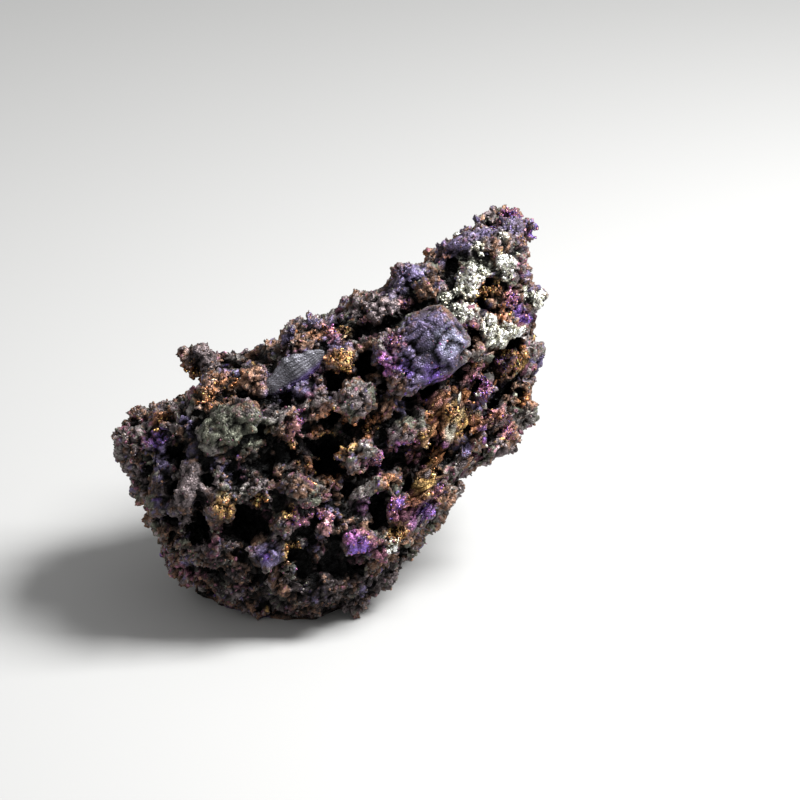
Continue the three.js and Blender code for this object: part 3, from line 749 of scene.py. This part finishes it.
# Patches: across, up, radius in mm, finish, how many of the grains take it
PATCHES = [
    # The first twelve are painted shade, near black, over the lower left, the bottom, the ridge and the
    # block
    (-25.0, -14.0, 6.0, "black_and_painted_shade", 0.3), (-16.0, -16.5, 6.0, "black_and_painted_shade", 0.3), (-8.0, -20.5, 5.0, "black_and_painted_shade", 0.35),
    (-20.0, -22.0, 5.0, "black_and_painted_shade", 0.5), (-10.0, -25.5, 6.0, "black_and_painted_shade", 0.5), (-1.0, -22.0, 4.0, "black_and_painted_shade", 0.4),
    (-14.0, -7.5, 4.5, "black_and_painted_shade", 0.35), (-22.0, -1.0, 4.0, "black_and_painted_shade", 0.3), (-16.0, 5.5, 3.0, "black_and_painted_shade", 0.3),
    (-28.0, -8.0, 5.0, "black_and_painted_shade", 0.35), (4.2, 5.4, 4.4, "black_and_painted_shade", 0.4), (-24.0, 5.5, 3.0, "black_and_painted_shade", 0.3),
    (3.6, 6.0, 4.6, "dusk", 0.7), (5.6, 6.8, 2.2, "steel", 0.5), (4.0, 3.6, 1.6, "violet", 0.7),
    (5.2, 3.4, 1.0, "magenta", 0.5), (4.4, 3.2, 0.6, "magenta", 0.6), (3.4, 9.6, 1.3, "magenta", 0.7),
    (1.6, 8.6, 1.4, "rose", 0.6), (4.6, 9.4, 1.0, "violet", 0.6), (-0.4, 6.6, 1.6, "plum", 0.7),
    (-1.6, 4.6, 1.5, "magenta", 0.35), (0.6, 3.8, 1.4, "violet", 0.35), (7.2, 5.6, 0.8, "steel", 0.8),
    (-12.8, 3.4, 3.6, "dusk", 0.5), (-14.6, 1.6, 1.8, "dusk", 0.9), (-8.0, 5.6, 1.6, "copper", 0.6),
    (-6.6, 4.6, 1.5, "gilt", 0.45), (-7.2, 6.6, 1.4, "dusk", 0.6), (-26, 2.4, 2.6, "rust", 0.45),
    (-21, 2.6, 2.4, "rust", 0.3), (-17.6, 3.0, 2.2, "umber", 0.5), (-28.5, 1.4, 2.0, "copper", 0.3),
    (-29, -2.4, 1.3, "rust", 0.8), (-27.8, 2.2, 1.4, "rose", 0.4), (-23, 0.6, 2.0, "rust", 0.4),
    (-18.4, -3.6, 2.6, "moss", 0.8), (-21.4, -3.2, 2.8, "moss", 0.6), (-25.8, -10.2, 2.8, "slate", 0.8),
    (-29.4, -4.4, 1.6, "violet", 0.3), (-28.8, -7.0, 1.4, "dusk", 0.6), (-8.6, -3.4, 2.4, "copper", 0.35),
    (-8.4, -5.2, 1.5, "gilt", 0.4), (-6.0, -5.2, 1.2, "gilt", 0.3), (-5.0, -3.0, 2.0, "copper", 0.65),
    (-2.9, -3.0, 1.2, "rust", 0.6), (0.6, -5.6, 1.5, "magenta", 0.6), (1.6, -5.8, 1.2, "rose", 0.7),
    (-12.4, -1.6, 1.6, "plum", 0.7), (-12.6, -3.6, 1.6, "rose", 0.25), (-3.0, -7.4, 1.8, "plum", 0.7),
    (-11.6, -14.0, 2.0, "plum", 0.5), (-8.6, -15.0, 1.6, "rose", 0.3), (-13.0, -6.0, 1.2, "gilt", 0.3),
    (-0.6, -6.0, 0.8, "rose", 0.6), (0.4, -3.0, 1.3, "moss", 0.8), (2.2, -3.0, 1.5, "moss", 0.7),
    (4.4, -0.4, 1.0, "rose", 0.7), (3.0, 0.2, 1.2, "rose", 0.5), (-13.3, -13.4, 0.8, "gilt", 0.8),
    (-13.3, -18.2, 1.2, "gilt", 0.9), (-13.6, -16.0, 0.8, "gilt", 0.6), (-21.0, -12.6, 1.3, "gilt", 0.4),
    (-17.0, -12.4, 0.9, "gilt", 0.5), (-10.2, -9.8, 0.8, "gilt", 0.7), (-9.0, -8.8, 1.8, "rust", 0.5),
    (-11.0, -7.4, 1.8, "rust", 0.35), (-4.7, -17.0, 2.0, "plum", 0.5), (-4.9, -17.7, 1.4, "violet", 0.45),
    (-3.6, -16.6, 1.0, "magenta", 0.4),
    (-5.6, -16.4, 1.0, "magenta", 0.4), (-0.4, -16.0, 1.2, "gilt", 0.6), (-0.8, -17.6, 1.0, "cream", 0.4),
    (-15.8, -18.6, 1.6, "dusk", 0.8), (-16.0, -19.0, 0.8, "violet", 0.5), (-9.6, -13.8, 1.4, "rose", 0.35),
    (-7.6, -14.0, 0.8, "rose", 0.6), (-11.6, -20.4, 0.9, "steel", 0.6), (-4.4, -12.6, 1.4, "magenta", 0.3),
    (-1.4, -9.8, 1.2, "copper", 0.5), (-2.4, -11.4, 1.0, "magenta", 0.4), (-4.6, -10.6, 1.6, "ash", 0.7),
    (-0.3, -13.0, 1.6, "plum", 0.8), (0.2, -12.4, 0.8, "violet", 0.4), (5.8, -12.0, 2.0, "ash", 0.9),
    (2.6, -10.0, 1.4, "gilt", 0.5), (3.6, -8.4, 1.3, "gilt", 0.5), (4.6, -7.0, 1.3, "rust", 0.6),
    (5.6, -6.2, 1.0, "copper", 0.5), (1.8, -12.2, 1.4, "rust", 0.6), (2.0, -14.2, 1.4, "magenta", 0.3),
    (3.4, -13.2, 1.4, "violet", 0.3), (4.0, -10.8, 1.2, "plum", 0.6), (5.0, -1.8, 2.0, "copper", 0.45),
    (6.8, -1.6, 1.8, "gilt", 0.5), (7.8, -3.2, 1.4, "gilt", 0.65), (9.4, -3.0, 1.2, "copper", 0.6),
    (5.4, -3.8, 1.3, "copper", 0.6), (3.4, -4.6, 1.2, "gilt", 0.45), (5.6, -5.9, 0.8, "magenta", 0.9),
    # The small cream and silver patches on this line and the next two are painted highlights: pale grains
    # for the glints of the band
    (6.4, -3.9, 1.0, "cream", 0.8), (8.6, -2.2, 0.6, "cream", 0.6),
    (11.8, -3.0, 0.5, "cream", 0.6), (7.2, 1.6, 0.4, "silver", 0.8), (12.2, 1.4, 0.4, "cream", 0.7),
    (13.4, 5.4, 0.5, "cream", 0.5), (4.2, -8.6, 0.5, "cream", 0.6), (10.4, -0.6, 0.5, "silver", 0.5),
    (5.4, -4.6, 0.5, "steel", 0.8), (8.8, -0.4, 1.5, "rust", 0.6),
    (10.0, 1.8, 1.8, "plum", 0.7), (8.2, 2.6, 1.5, "rose", 0.4), (9.2, 3.4, 1.2, "rose", 0.35),
    (7.2, 2.2, 1.4, "rust", 0.5), (6.4, 0.6, 1.4, "rust", 0.45), (7.8, 0.8, 0.6, "silver", 0.9),
    (9.4, 0.4, 0.6, "cream", 0.6), (12.0, -0.6, 1.3, "rose", 0.6), (12.6, -3.4, 1.2, "rose", 0.7),
    (11.6, -1.6, 1.2, "copper", 0.5), (10.0, -4.0, 1.0, "violet", 0.6), (10.9, -4.4, 0.5, "steel", 0.9),
    (9.8, -5.2, 0.9, "magenta", 0.4), (13.2, 3.0, 1.5, "copper", 0.4), (12.4, 4.6, 1.4, "rose", 0.5),
    (14.6, 4.8, 1.3, "gilt", 0.45), (14.0, 1.2, 1.4, "moss", 0.7), (15.0, 0.0, 1.0, "rust", 0.6),
    (13.6, 6.2, 1.0, "magenta", 0.4), (15.0, -2.4, 1.6, "ash", 0.8), (12.8, -6.4, 1.6, "slate", 0.8),
    (10.0, 13.2, 1.1, "gilt", 0.8), (11.2, 13.8, 0.9, "gilt", 0.5), (9.4, 11.9, 0.7, "gilt", 0.6),
    (12.4, 13.0, 0.8, "rust", 0.8), (13.6, 12.6, 1.2, "rose", 0.5), (13.8, 11.6, 1.1, "plum", 0.8),
    (12.6, 10.2, 1.2, "copper", 0.5), (14.6, 10.0, 1.0, "violet", 0.7), (15.4, 9.4, 0.9, "violet", 0.5),
    (8.4, 8.4, 1.1, "rose", 0.5), (8.8, 7.6, 0.8, "copper", 0.6), (15.9, 13.4, 0.9, "dusk", 0.8),
    (9.6, 15.8, 1.6, "silver", 0.85), (8.6, 14.9, 1.7, "silver", 0.9), (8.0, 13.6, 1.7, "silver", 0.85),
    (6.8, 13.2, 1.3, "silver", 0.35), (8.4, 12.4, 1.2, "silver", 0.8), (5.5, 11.9, 1.0, "silver", 0.9),
    (7.0, 10.6, 1.5, "silver", 0.5), (8.4, 11.2, 1.2, "silver", 0.7), (10.1, 10.8, 0.6, "silver", 0.9),
    (12.8, 16.6, 1.3, "silver", 0.8), (13.2, 15.4, 1.2, "cream", 0.8), (10.9, 8.9, 1.3, "silver", 0.85),
    (12.6, 7.9, 1.5, "cream", 0.75), (13.9, 8.4, 1.3, "cream", 0.7), (11.5, 6.8, 1.3, "silver", 0.7),
    (11.6, 5.4, 1.1, "silver", 0.8), (9.5, 5.2, 1.1, "ash", 0.9), (9.6, 4.4, 0.6, "silver", 0.9),
    (15.6, 12.8, 1.0, "cream", 0.8), (16.9, 12.0, 1.2, "silver", 0.35), (9.3, 18.3, 1.1, "silver", 0.3),
    (12.5, 19.6, 0.7, "cream", 0.4), (14.2, 18.2, 0.6, "cream", 0.5), (7.3, 20.1, 0.7, "cream", 0.4),
    (3.2, 17.0, 1.2, "rust", 0.5), (5.2, 17.6, 0.9, "copper", 0.5), (2.0, 15.6, 1.6, "dusk", 0.6),
    (15.2, 21.2, 1.0, "rose", 0.6), (16.2, 20.4, 1.0, "violet", 0.6), (14.4, 19.4, 1.0, "copper", 0.4),
    (11.4, 21.4, 2.0, "plum", 0.4), (9.6, 20.6, 1.8, "dusk", 0.5),
    (5.0, 17.6, 2.0, "dusk", 0.5), (-1.0, 13.8, 2.2, "dusk", 0.4), (13.4, 20.8, 2.8, "dusk", 0.5),
    (-8.0, 10.4, 1.6, "dusk", 0.4), (7.4, 18.8, 1.6, "dusk", 0.5), (13.0, 22.4, 1.6, "plum", 0.5),
    (-4.4, 10.0, 1.4, "rose", 0.3),
    (-8.4, 9.2, 1.2, "rose", 0.45), (-6.6, 8.6, 1.2, "gilt", 0.35), (-10.0, 8.4, 1.2, "copper", 0.35),
    (0.6, 11.4, 1.2, "rose", 0.4), (-1.6, 10.6, 1.8, "slate", 0.8), (-24, 5.0, 2.4, "slate", 0.6),
]
patch_places = [on_face(across, up) for across, up, *_ in PATCHES]


def patch_shares(points):
    """Patch by patch, the full share inside the ball and 0 outside, its edge moved by noise."""
    wander = 0.30 * soft_noise(points, 1.6 * MM, 90) + 0.22 * soft_noise(points, 0.6 * MM, 91)
    for place, (_, _, radius, finish, most) in zip(patch_places, PATCHES):
        far = np.linalg.norm(points - place, axis=1) / MM / radius + wander
        yield finish, most * (1 - smooth(0.7, 1.25, far))


def another(own, number):
    """A second number from 0 to 1 for each grain: what is left after the point, many times its own."""
    return np.mod(own * (917.3 + 61.7 * number), 1)


# A name that comes more than once is taken more often
GROUND = [
    "slate", "umber", "slate", "ash", "umber", "plum", "slate", "umber", "umber", "moss", "dusk", "slate",
]
STRAY = ["copper", "rose", "violet", "gilt", "cream", "rust"]


def patched(points, colour, grain):
    """The colour with every patch over it: each grain takes more or less of the patch's finish."""
    for column, (finish, share) in enumerate(patch_shares(points)):
        taken = np.clip(2.2 * share * (0.2 + another(grain, 5 + column)), 0, 1)[:, None]
        colour = colour * (1 - taken) + taken * np.array(TINTS[finish])
    return colour


CLOUD_SIZE = 2.2 * MM
GRAIN_SIZE = 0.40 * MM


def tint_of(points):
    """Each cloud takes a ground colour, and its grains another, a stray one or a patch's."""
    bent = points + MM * 0.7 * np.stack([soft_noise(points, 1.3 * MM, seed) for seed in (95, 96, 97)], 1)
    _, _, cell, _ = cell_noise(bent, CLOUD_SIZE, 98)
    _, _, grain, _ = cell_noise(points, GRAIN_SIZE, 94)
    ground, stray = (np.array([TINTS[name] for name in names]) for names in (GROUND, STRAY))
    colour = ground[np.minimum((cell * len(ground)).astype(int), len(ground) - 1)]
    mixed = ground[np.minimum((another(grain, 1) * len(ground)).astype(int), len(ground) - 1)]
    colour = np.where((another(grain, 2) < 0.3)[:, None], mixed, colour)
    odd = stray[np.minimum((another(grain, 3) * len(stray)).astype(int), len(stray) - 1)]
    colour = np.where((another(grain, 4) < 0.012)[:, None], 0.7 * odd, colour)
    colour = patched(points, colour, grain)
    bright = 0.5 + another(grain, 0) + 0.8 * (another(grain, 0) > 0.95)
    calm = calm_of(points)
    bright = bright + calm * (0.75 - bright) * 0.8
    return colour * (bright * (1 + 0.3 * soft_noise(points, 1.1 * MM, 93)))[:, None]


def shade_of(deep, wide, close):
    """Painted shade: near 1 on what stands out and near 0 in gaps, by the relief at three sizes."""
    shade = (0.10 + 0.90 * smooth(-1.0, 0.8, deep)) * (0.08 + 0.92 * smooth(-0.26, 0.34, wide))
    return 1.9 * (shade * (0.08 + 0.92 * smooth(-0.10, 0.08, close))) ** 1.15


# Painted shade of the body, by its relief: gaps are painted dark
body_shade = shade_of(deep_relief, wide_relief, close_relief)
body_deep = in_deep(body_points)[0] * (1 - smooth(0.1, 1.1, deep_relief))
body_calm = calm_of(body_points)
# Painted shade: the deep places are painted darker still
body_shade = body_shade * (1 - 0.65 * body_deep)
finish_shares = {finish: np.zeros(len(body_points)) for finish in TINTS}
for finish, share in patch_shares(body_points):
    finish_shares[finish] = np.maximum(finish_shares[finish], share)
crusted = np.maximum(finish_shares["silver"], finish_shares["cream"])
# Within the silver and cream crust the painted shade of the gaps is lifted
body_shade += 0.6 * crusted * np.clip(0.9 - body_shade, 0, 1)
body_tint = np.clip(tint_of(body_points) * body_shade[:, None], 0, 1)
print("mean colour of the body:", body_tint.mean(0).round(3))
print("shade:", np.percentile(body_shade, [5, 25, 50, 75]).round(2))

# %% [markdown]
# ## The finish of the body
#
# Chalcocite shines dully, between a metal and a stone. The finish takes its colour from the mesh
# and breaks it up once more into grains finer than the mesh: a Voronoi pattern gives each grain a
# brightness, a roughness and a tilt of its own, and noise dusts over them.


# %% Body finish
def ranged(tree, source, low, high, start=0.0, stop=1.0):
    """A node that maps start..stop of the source to low..high."""
    node = tree.nodes.new("ShaderNodeMapRange")
    for socket, value in (("From Min", start), ("From Max", stop), ("To Min", low), ("To Max", high)):
        node.inputs[socket].default_value = value
    tree.links.new(source, node.inputs["Value"])
    return node.outputs["Result"]


def finish_of(name, metallic, rough_low, rough_high, grain, bump, contrast, specular=0.5):
    """A finish that reads the tint: grain is the size of its grains in mm, bump their height in mm."""
    material = bpy.data.materials.new(name)
    material.use_nodes = True
    tree = material.node_tree
    shader = tree.nodes["Principled BSDF"]
    shader.inputs["Metallic"].default_value = metallic
    shader.inputs["Specular IOR Level"].default_value = specular
    tint = tree.nodes.new("ShaderNodeAttribute")
    tint.attribute_name = "tint"
    place = tree.nodes.new("ShaderNodeTexCoord")
    grains = tree.nodes.new("ShaderNodeTexVoronoi")
    grains.inputs["Scale"].default_value = 1 / (grain * MM)
    tree.links.new(place.outputs["Object"], grains.inputs["Vector"])
    marks = tree.nodes.new("ShaderNodeSeparateColor")
    tree.links.new(grains.outputs["Color"], marks.inputs["Color"])
    dust = tree.nodes.new("ShaderNodeTexNoise")
    dust.inputs["Scale"].default_value = 1 / (0.5 * grain * MM)
    dust.inputs["Detail"].default_value = 3
    tree.links.new(place.outputs["Object"], dust.inputs["Vector"])
    bright = tree.nodes.new("ShaderNodeMath")
    bright.operation = "MULTIPLY"
    tree.links.new(ranged(tree, marks.outputs["Red"], 1 - contrast, 1 + contrast), bright.inputs[0])
    tree.links.new(ranged(tree, dust.outputs["Fac"], 1 - contrast, 1 + contrast, 0.3, 0.7), bright.inputs[1])
    scaled = tree.nodes.new("ShaderNodeVectorMath")
    scaled.operation = "SCALE"
    tree.links.new(tint.outputs["Color"], scaled.inputs[0])
    tree.links.new(bright.outputs["Value"], scaled.inputs["Scale"])
    tree.links.new(scaled.outputs["Vector"], shader.inputs["Base Color"])
    tree.links.new(ranged(tree, marks.outputs["Green"], rough_low, rough_high), shader.inputs["Roughness"])
    height = tree.nodes.new("ShaderNodeMath")
    height.operation = "ADD"
    tree.links.new(ranged(tree, grains.outputs["Distance"], 1, 0), height.inputs[0])
    tree.links.new(ranged(tree, dust.outputs["Fac"], 0, 0.5), height.inputs[1])
    raised = tree.nodes.new("ShaderNodeBump")
    raised.inputs["Distance"].default_value = bump * MM
    tree.links.new(height.outputs["Value"], raised.inputs["Height"])
    tree.links.new(raised.outputs["Normal"], shader.inputs["Normal"])
    return material


def paint(mesh, colours):
    """One colour for each point of the mesh, in the attribute that the finish reads."""
    layer = mesh.attributes.new("tint", "FLOAT_COLOR", "POINT")
    rows = np.concatenate([colours, np.ones((len(colours), 1))], 1)
    layer.data.foreach_set("color", rows.astype(np.float32).ravel())


def shown_part(name, points, faces, colours, material):
    """A painted mesh with its finish, that rides on the specimen."""
    mesh = mesh_from(name, points, faces)
    paint(mesh, colours)
    mesh.materials.append(material)
    made = object_from(name, mesh)
    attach(made, "root")
    return made


tarnished = finish_of(
    "tarnished_chalcocite", metallic=0.55, rough_low=0.32, rough_high=0.70,
    grain=0.26, bump=0.12, contrast=0.35, specular=0.25,
)

# %% [markdown]
# The body is one closed skin, but too long a list of triangles for one piece. It is cut in two
# along a plane. Every triangle is flat shaded, as a broken grain is, so the cut can't be seen.


# %% The body in two pieces
def part_of(points, triangles, keep):
    """The kept triangles with only the points they use, and the numbers of those points."""
    used, number = np.unique(triangles[keep], return_inverse=True)
    return points[used], number.reshape(-1, 3), used


out_of_face = face_of(body_points[body_triangles].mean(1))[:, 2]
middle = np.median(out_of_face)
for name, keep in (("front_of_body", out_of_face >= middle), ("back_of_body", out_of_face < middle)):
    points, triangles, used = part_of(body_points, body_triangles, keep)
    piece = shown_part(name, points, triangles, body_tint[used], tarnished)
    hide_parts("chalcocite")
    print(name, len(triangles), "triangles")
bpy.data.meshes.remove(body_mesh)

# %% [markdown]
# ## The striped blade
#
# Left of the block lies one long flat crystal with fine stripes along it. It is a lens, worked out
# over two numbers: along from end to end, and around from edge to edge and back underneath. The
# stripes are waves across it, which a voxel skin would have lost.


# %% Blade
def striped_blade(along_count=150, around_count=72):
    """Half widths shrink to the ends by a root, the top is a low arch, and waves across make stripes."""
    along = np.linspace(-1, 1, along_count)[:, None]
    around = np.linspace(0, 2 * math.pi, around_count, endpoint=False)[None]
    side, rise = np.cos(around), np.sin(around)
    uneven = 1 + 0.08 * np.sin(7 * along + 1) + 0.05 * np.sin(19 * along + 2)
    width = (1 - np.abs(along) ** 1.8) ** 0.75 * uneven
    stripes = np.sin(25 * side + 0.9 * np.sin(4 * along)) + 0.8 * np.sin(47 * side + 2 + np.sin(3 * along))
    chips = 0.05 * np.sin(7 * along + 2 * side) + 0.04 * np.sin(23 * along) * np.cos(5 * along + 3 * side)
    x = BLADE["half_length"] * along + 0 * around
    y = BLADE["half_width"] * width * side * (1 + 0.5 * chips)
    z = (0.6 * rise * (1 + chips) + 0.028 * stripes * np.clip(rise, 0, 1)) * width
    points = MM * np.stack([x, y, z], 2).reshape(-1, 3)
    i, j = np.meshgrid(np.arange(along_count - 1), np.arange(around_count), indexing="ij")
    next_j = (j + 1) % around_count
    row, next_row = i * around_count, (i + 1) * around_count
    corners = [row + j, next_row + j, next_row + next_j, row + next_j]
    return points, np.stack(corners, 2).reshape(-1, 4), stripes.ravel()


blade_points, blade_faces, stripes = striped_blade()
lean = math.radians(24)
leaned = np.array([(1, 0, 0), (0, math.cos(lean), -math.sin(lean)), (0, math.sin(lean), math.cos(lean))])
blade_turn = turn_on_face(BLADE["turn"]) @ leaned
blade_at = on_face(*blade_seen) - 0.1 * MM * OUT
blade_points = blade_points @ blade_turn.T + blade_at
# The blade's top is pale and its lower edge violet and darker: violet tarnish, with painted shade under the
# edge
edge = smooth(0.3, 1.3, -((blade_points - blade_at) @ blade_turn)[:, 1] / MM)
pale, low = np.array([0.155, 0.152, 0.175]), np.array([0.12, 0.08, 0.24])
specks, clouds = soft_noise(blade_points, 0.45 * MM, 8), soft_noise(blade_points, 1.5 * MM, 9)
dusty = 1 + 0.30 * stripes + 0.35 * specks + 0.35 * clouds
blade_tint = (pale * (1 - edge[:, None]) + low * edge[:, None]) * dusty[:, None]
sheen = finish_of(
    "striped_chalcocite", metallic=0.7, rough_low=0.38, rough_high=0.62,
    grain=0.22, bump=0.08, contrast=0.3, specular=0.3,
)
shown_part("striped_blade", blade_points, blade_faces, np.clip(blade_tint, 0, 1), sheen)
print("blade", len(blade_faces), "faces")

# %% [markdown]
# ## Slivers of the break
#
# The right side is broken across the growth, and shows as thin slats that all run up to the right
# with black slots between. Each slat is a flattened, pointed crystal of twenty faces, laid along
# the run on the sunk mass and leaning a little more or less than its neighbours. They are heaped
# twice: once to find those that reach into an open slot, and again without them.

# %% Slivers
rng = np.random.default_rng(31)
middles = mass_points[solid_triangles].mean(1)
toward = np.clip(solid_normals[solid_triangles].mean(1) @ unit((EYE - HEART)[None])[0], 0, 1)
weight = ledge_share(middles) * smooth(0.15, 0.5, toward)
weight = weight * (1 - in_deep(middles)[0]) * (from_forms(middles) > 0.9)
places, which = spread(mass_points, solid_triangles, 30000, 0.8 * MM, rng, weight)
facing = unit(solid_normals[solid_triangles[which]].mean(1))
swing = RUN + rng.normal(0, 0.3, len(places)) - 0.25 * smooth(4, -12, face_of(places)[:, 1])
run = np.cos(swing)[:, None] * ACROSS + np.sin(swing)[:, None] * UP
long_way = unit(run - np.einsum("ij,ij->i", run, facing)[:, None] * facing)
side_way = np.cross(facing, long_way)
lean = rng.normal(0.9, 0.5, len(places))[:, None]
thin_way = np.cos(lean) * side_way + np.sin(lean) * facing
turns = np.stack([long_way, np.cross(thin_way, long_way), thin_way], 2)
count = len(places)
sizes = MM * np.stack([
    0.4 + 1.3 * rng.random(count) ** 2, rng.uniform(0.25, 0.6, count), rng.uniform(0.12, 0.32, count),
], 1)
sizes = 1.15 * sizes
centres = places + 0.35 * MM * facing
sliver_points, _ = heap(ball(0), centres, sizes, turns, dents=0.25, seed=6)
clear = in_deep(sliver_points)[0].reshape(count, -1).max(1) <= 0.35
places, facing, centres, sizes, turns = (
    rows[clear] for rows in (places, facing, centres, sizes, turns)
)
sliver_points, sliver_faces = heap(ball(0), centres, sizes, turns, dents=0.25, seed=6)
SLAT_GROUND = ["umber", "plum", "umber", "slate", "rust", "umber", "plum", "black_and_painted_shade", "moss"]
table = np.array([TINTS[name] for name in SLAT_GROUND])
slat = table[rng.integers(0, len(table), len(centres))] * rng.uniform(0.5, 1.3, (len(centres), 1))
CRYSTAL_POINTS = len(ball(0)[0])
slat, bases, outward = (np.repeat(rows, CRYSTAL_POINTS, axis=0) for rows in (slat, places, facing))
_, _, grain, _ = cell_noise(sliver_points, GRAIN_SIZE, 94)
slat = patched(sliver_points, slat, grain)
# Painted shade: the foot of a slat, down against the mass, is dark, and its tip isn't
lift = np.einsum("ij,ij->i", sliver_points - bases, outward) / MM
slat = slat * (0.08 + 0.92 * smooth(-0.1, 0.7, lift))[:, None] * (0.6 + 0.8 * another(grain, 0))[:, None]
broken = finish_of(
    "broken_chalcocite", metallic=0.75, rough_low=0.28, rough_high=0.62,
    grain=0.22, bump=0.14, contrast=0.45, specular=0.3,
)
shown_part("slivers", sliver_points, sliver_faces, np.clip(slat, 0, 1), broken)
print("slivers", len(centres), "with", len(sliver_faces), "triangles")

# %% [markdown]
# ## Grains
#
# The sparkle of the specimen comes from thousands of tiny crystals, each with flat faces that catch
# the light or don't. One crystal is a stretched icosahedron of twenty faces. They are spread over
# the skin where their crust grows, and joined into one mesh for each crust.

# %% Crystals
face_shade = body_shade[body_triangles].mean(1)
face_calm = body_calm[body_triangles].mean(1)


def patch_weight(*finishes):
    """How much each triangle of the body belongs to patches of these finishes, 0 to 1."""
    return np.max([finish_shares[finish] for finish in finishes], axis=0)[body_triangles].mean(1)


RAISED = 0.1  # how far a crystal's middle is above the skin, in its radius
TOO_DARK = 0.06  # no crystal grows where the shade is under this


def crust(name, count, least, most, weight, finishes, material, seed):
    """Crystals by the weight of each triangle: any turn, any stretch, one colour for each crystal."""
    rng = np.random.default_rng(seed)
    weight = weight * (face_shade > TOO_DARK) * (1 - 0.9 * face_calm)
    places, which = spread(body_points, body_triangles, count, 0, rng, weight)
    radius = MM * (least + (most - least) * rng.random(len(places)) ** 2)
    sizes = radius[:, None] * rng.uniform(0.45, 1.5, (len(places), 3))
    outward = body_normals[body_triangles[which, 0]]
    centres = places + RAISED * radius[:, None] * outward
    keep = centres[:, 2] > 1.9 * most * MM
    places, sizes, centres, which = places[keep], sizes[keep], centres[keep], which[keep]
    points, faces = heap(ball(0), centres, sizes, any_turns(len(centres), rng), dents=0.15, seed=seed)
    table = np.array([TINTS[finish] for finish in finishes])
    colour = table[rng.integers(0, len(table), len(centres))] * rng.uniform(0.3, 1.4, (len(centres), 1))
    # Painted shade: each crystal is as dark as the painted shade of the skin it grows on
    colour = colour * (0.15 + 0.85 * face_shade[which])[:, None]
    shown_part(name, points, faces, np.repeat(np.clip(colour, 0, 1), CRYSTAL_POINTS, axis=0), material)
    print(name, len(centres), "crystals,", len(faces), "triangles")


# %% Grow the crusts
bright = finish_of(
    "bright_crystal", metallic=1.0, rough_low=0.20, rough_high=0.42, grain=0.12, bump=0.02, contrast=0.25,
)
dull = finish_of(
    "dull_crystal", metallic=0.7, rough_low=0.28, rough_high=0.60,
    grain=0.12, bump=0.03, contrast=0.4, specular=0.3,
)
crust(
    "silver_crust", count=7000, least=0.09, most=0.27, weight=patch_weight("silver", "cream") ** 2,
    finishes=["silver", "silver", "silver", "cream", "ash", "silver"], material=bright, seed=21,
)
crust(
    "gilt_crust", count=5200, least=0.08, most=0.24,
    weight=patch_weight("gilt") + 0.3 * patch_weight("copper", "rust"),
    finishes=["gilt", "copper", "rust", "umber", "black_and_painted_shade", "umber"], material=bright, seed=22,
)
crust(
    "violet_crust", count=2400, least=0.08, most=0.19,
    weight=patch_weight("violet", "magenta", "rose", "plum", "steel") ** 1.5,
    finishes=["violet", "rose", "plum", "dusk", "magenta"], material=bright, seed=23,
)
crust(
    "dark_grains", count=9500, least=0.08, most=0.21, weight=0.2 + face_shade,
    finishes=["slate", "umber", "ash", "moss", "plum", "umber", "slate"], material=dull, seed=24,
)

# %% [markdown]
# ## Floor and light
#
# The specimen is shown on a plain pale ground. One strong soft lamp high on the right leaves the
# gaps in shadow, a weak one in front on the left opens them a little, and a pale sky fills the rest.


# %% Floor
def plain(name, colour, roughness):
    """One colour all over, for what is not part of the specimen."""
    material = bpy.data.materials.new(name)
    material.use_nodes = True
    shader = material.node_tree.nodes["Principled BSDF"]
    shader.inputs["Base Color"].default_value = (*colour, 1)
    shader.inputs["Roughness"].default_value = roughness
    return material


FLOOR_HALF = 3.0  # half its width, in metres
FLOOR_DROP = 0.00005  # how far it lies below the specimen, in metres
floor_corners = np.array([(-1, -1, 0), (1, -1, 0), (1, 1, 0), (-1, 1, 0)]) * FLOOR_HALF
floor_mesh = mesh_from("floor", floor_corners - (0, 0, FLOOR_DROP), np.array([[0, 1, 2, 3]]))
floor_mesh.materials.append(plain("pale_ground", (0.44, 0.44, 0.435), 0.9))
floor = object_from("floor", floor_mesh)
print("floor laid")


# %% Light
def lamp(name, at, size, power, colour=(1, 1, 1)):
    """A square soft lamp at a place on the face, aimed at the specimen."""
    data = bpy.data.lights.new(name, "AREA")
    data.size = size
    data.energy = power
    data.color = colour
    made = bpy.data.objects.new(name, data)
    made.location = at_face(*at)
    aim = Vector(HEART) - made.location
    made.rotation_euler = aim.to_track_quat("-Z", "Y").to_euler()
    bpy.context.collection.objects.link(made)


lamp("key", (180, 225, 105), 0.14, 2.6)
lamp("front", (-160, 120, 420), 0.20, 0.2)
world = bpy.data.worlds.new("sky")
world.use_nodes = True
world.node_tree.nodes["Background"].inputs["Color"].default_value = (1, 1, 1, 1)
world.node_tree.nodes["Background"].inputs["Strength"].default_value = 0.40
bpy.context.scene.world = world
bpy.context.scene.view_settings.view_transform = "Standard"
print("lights set")
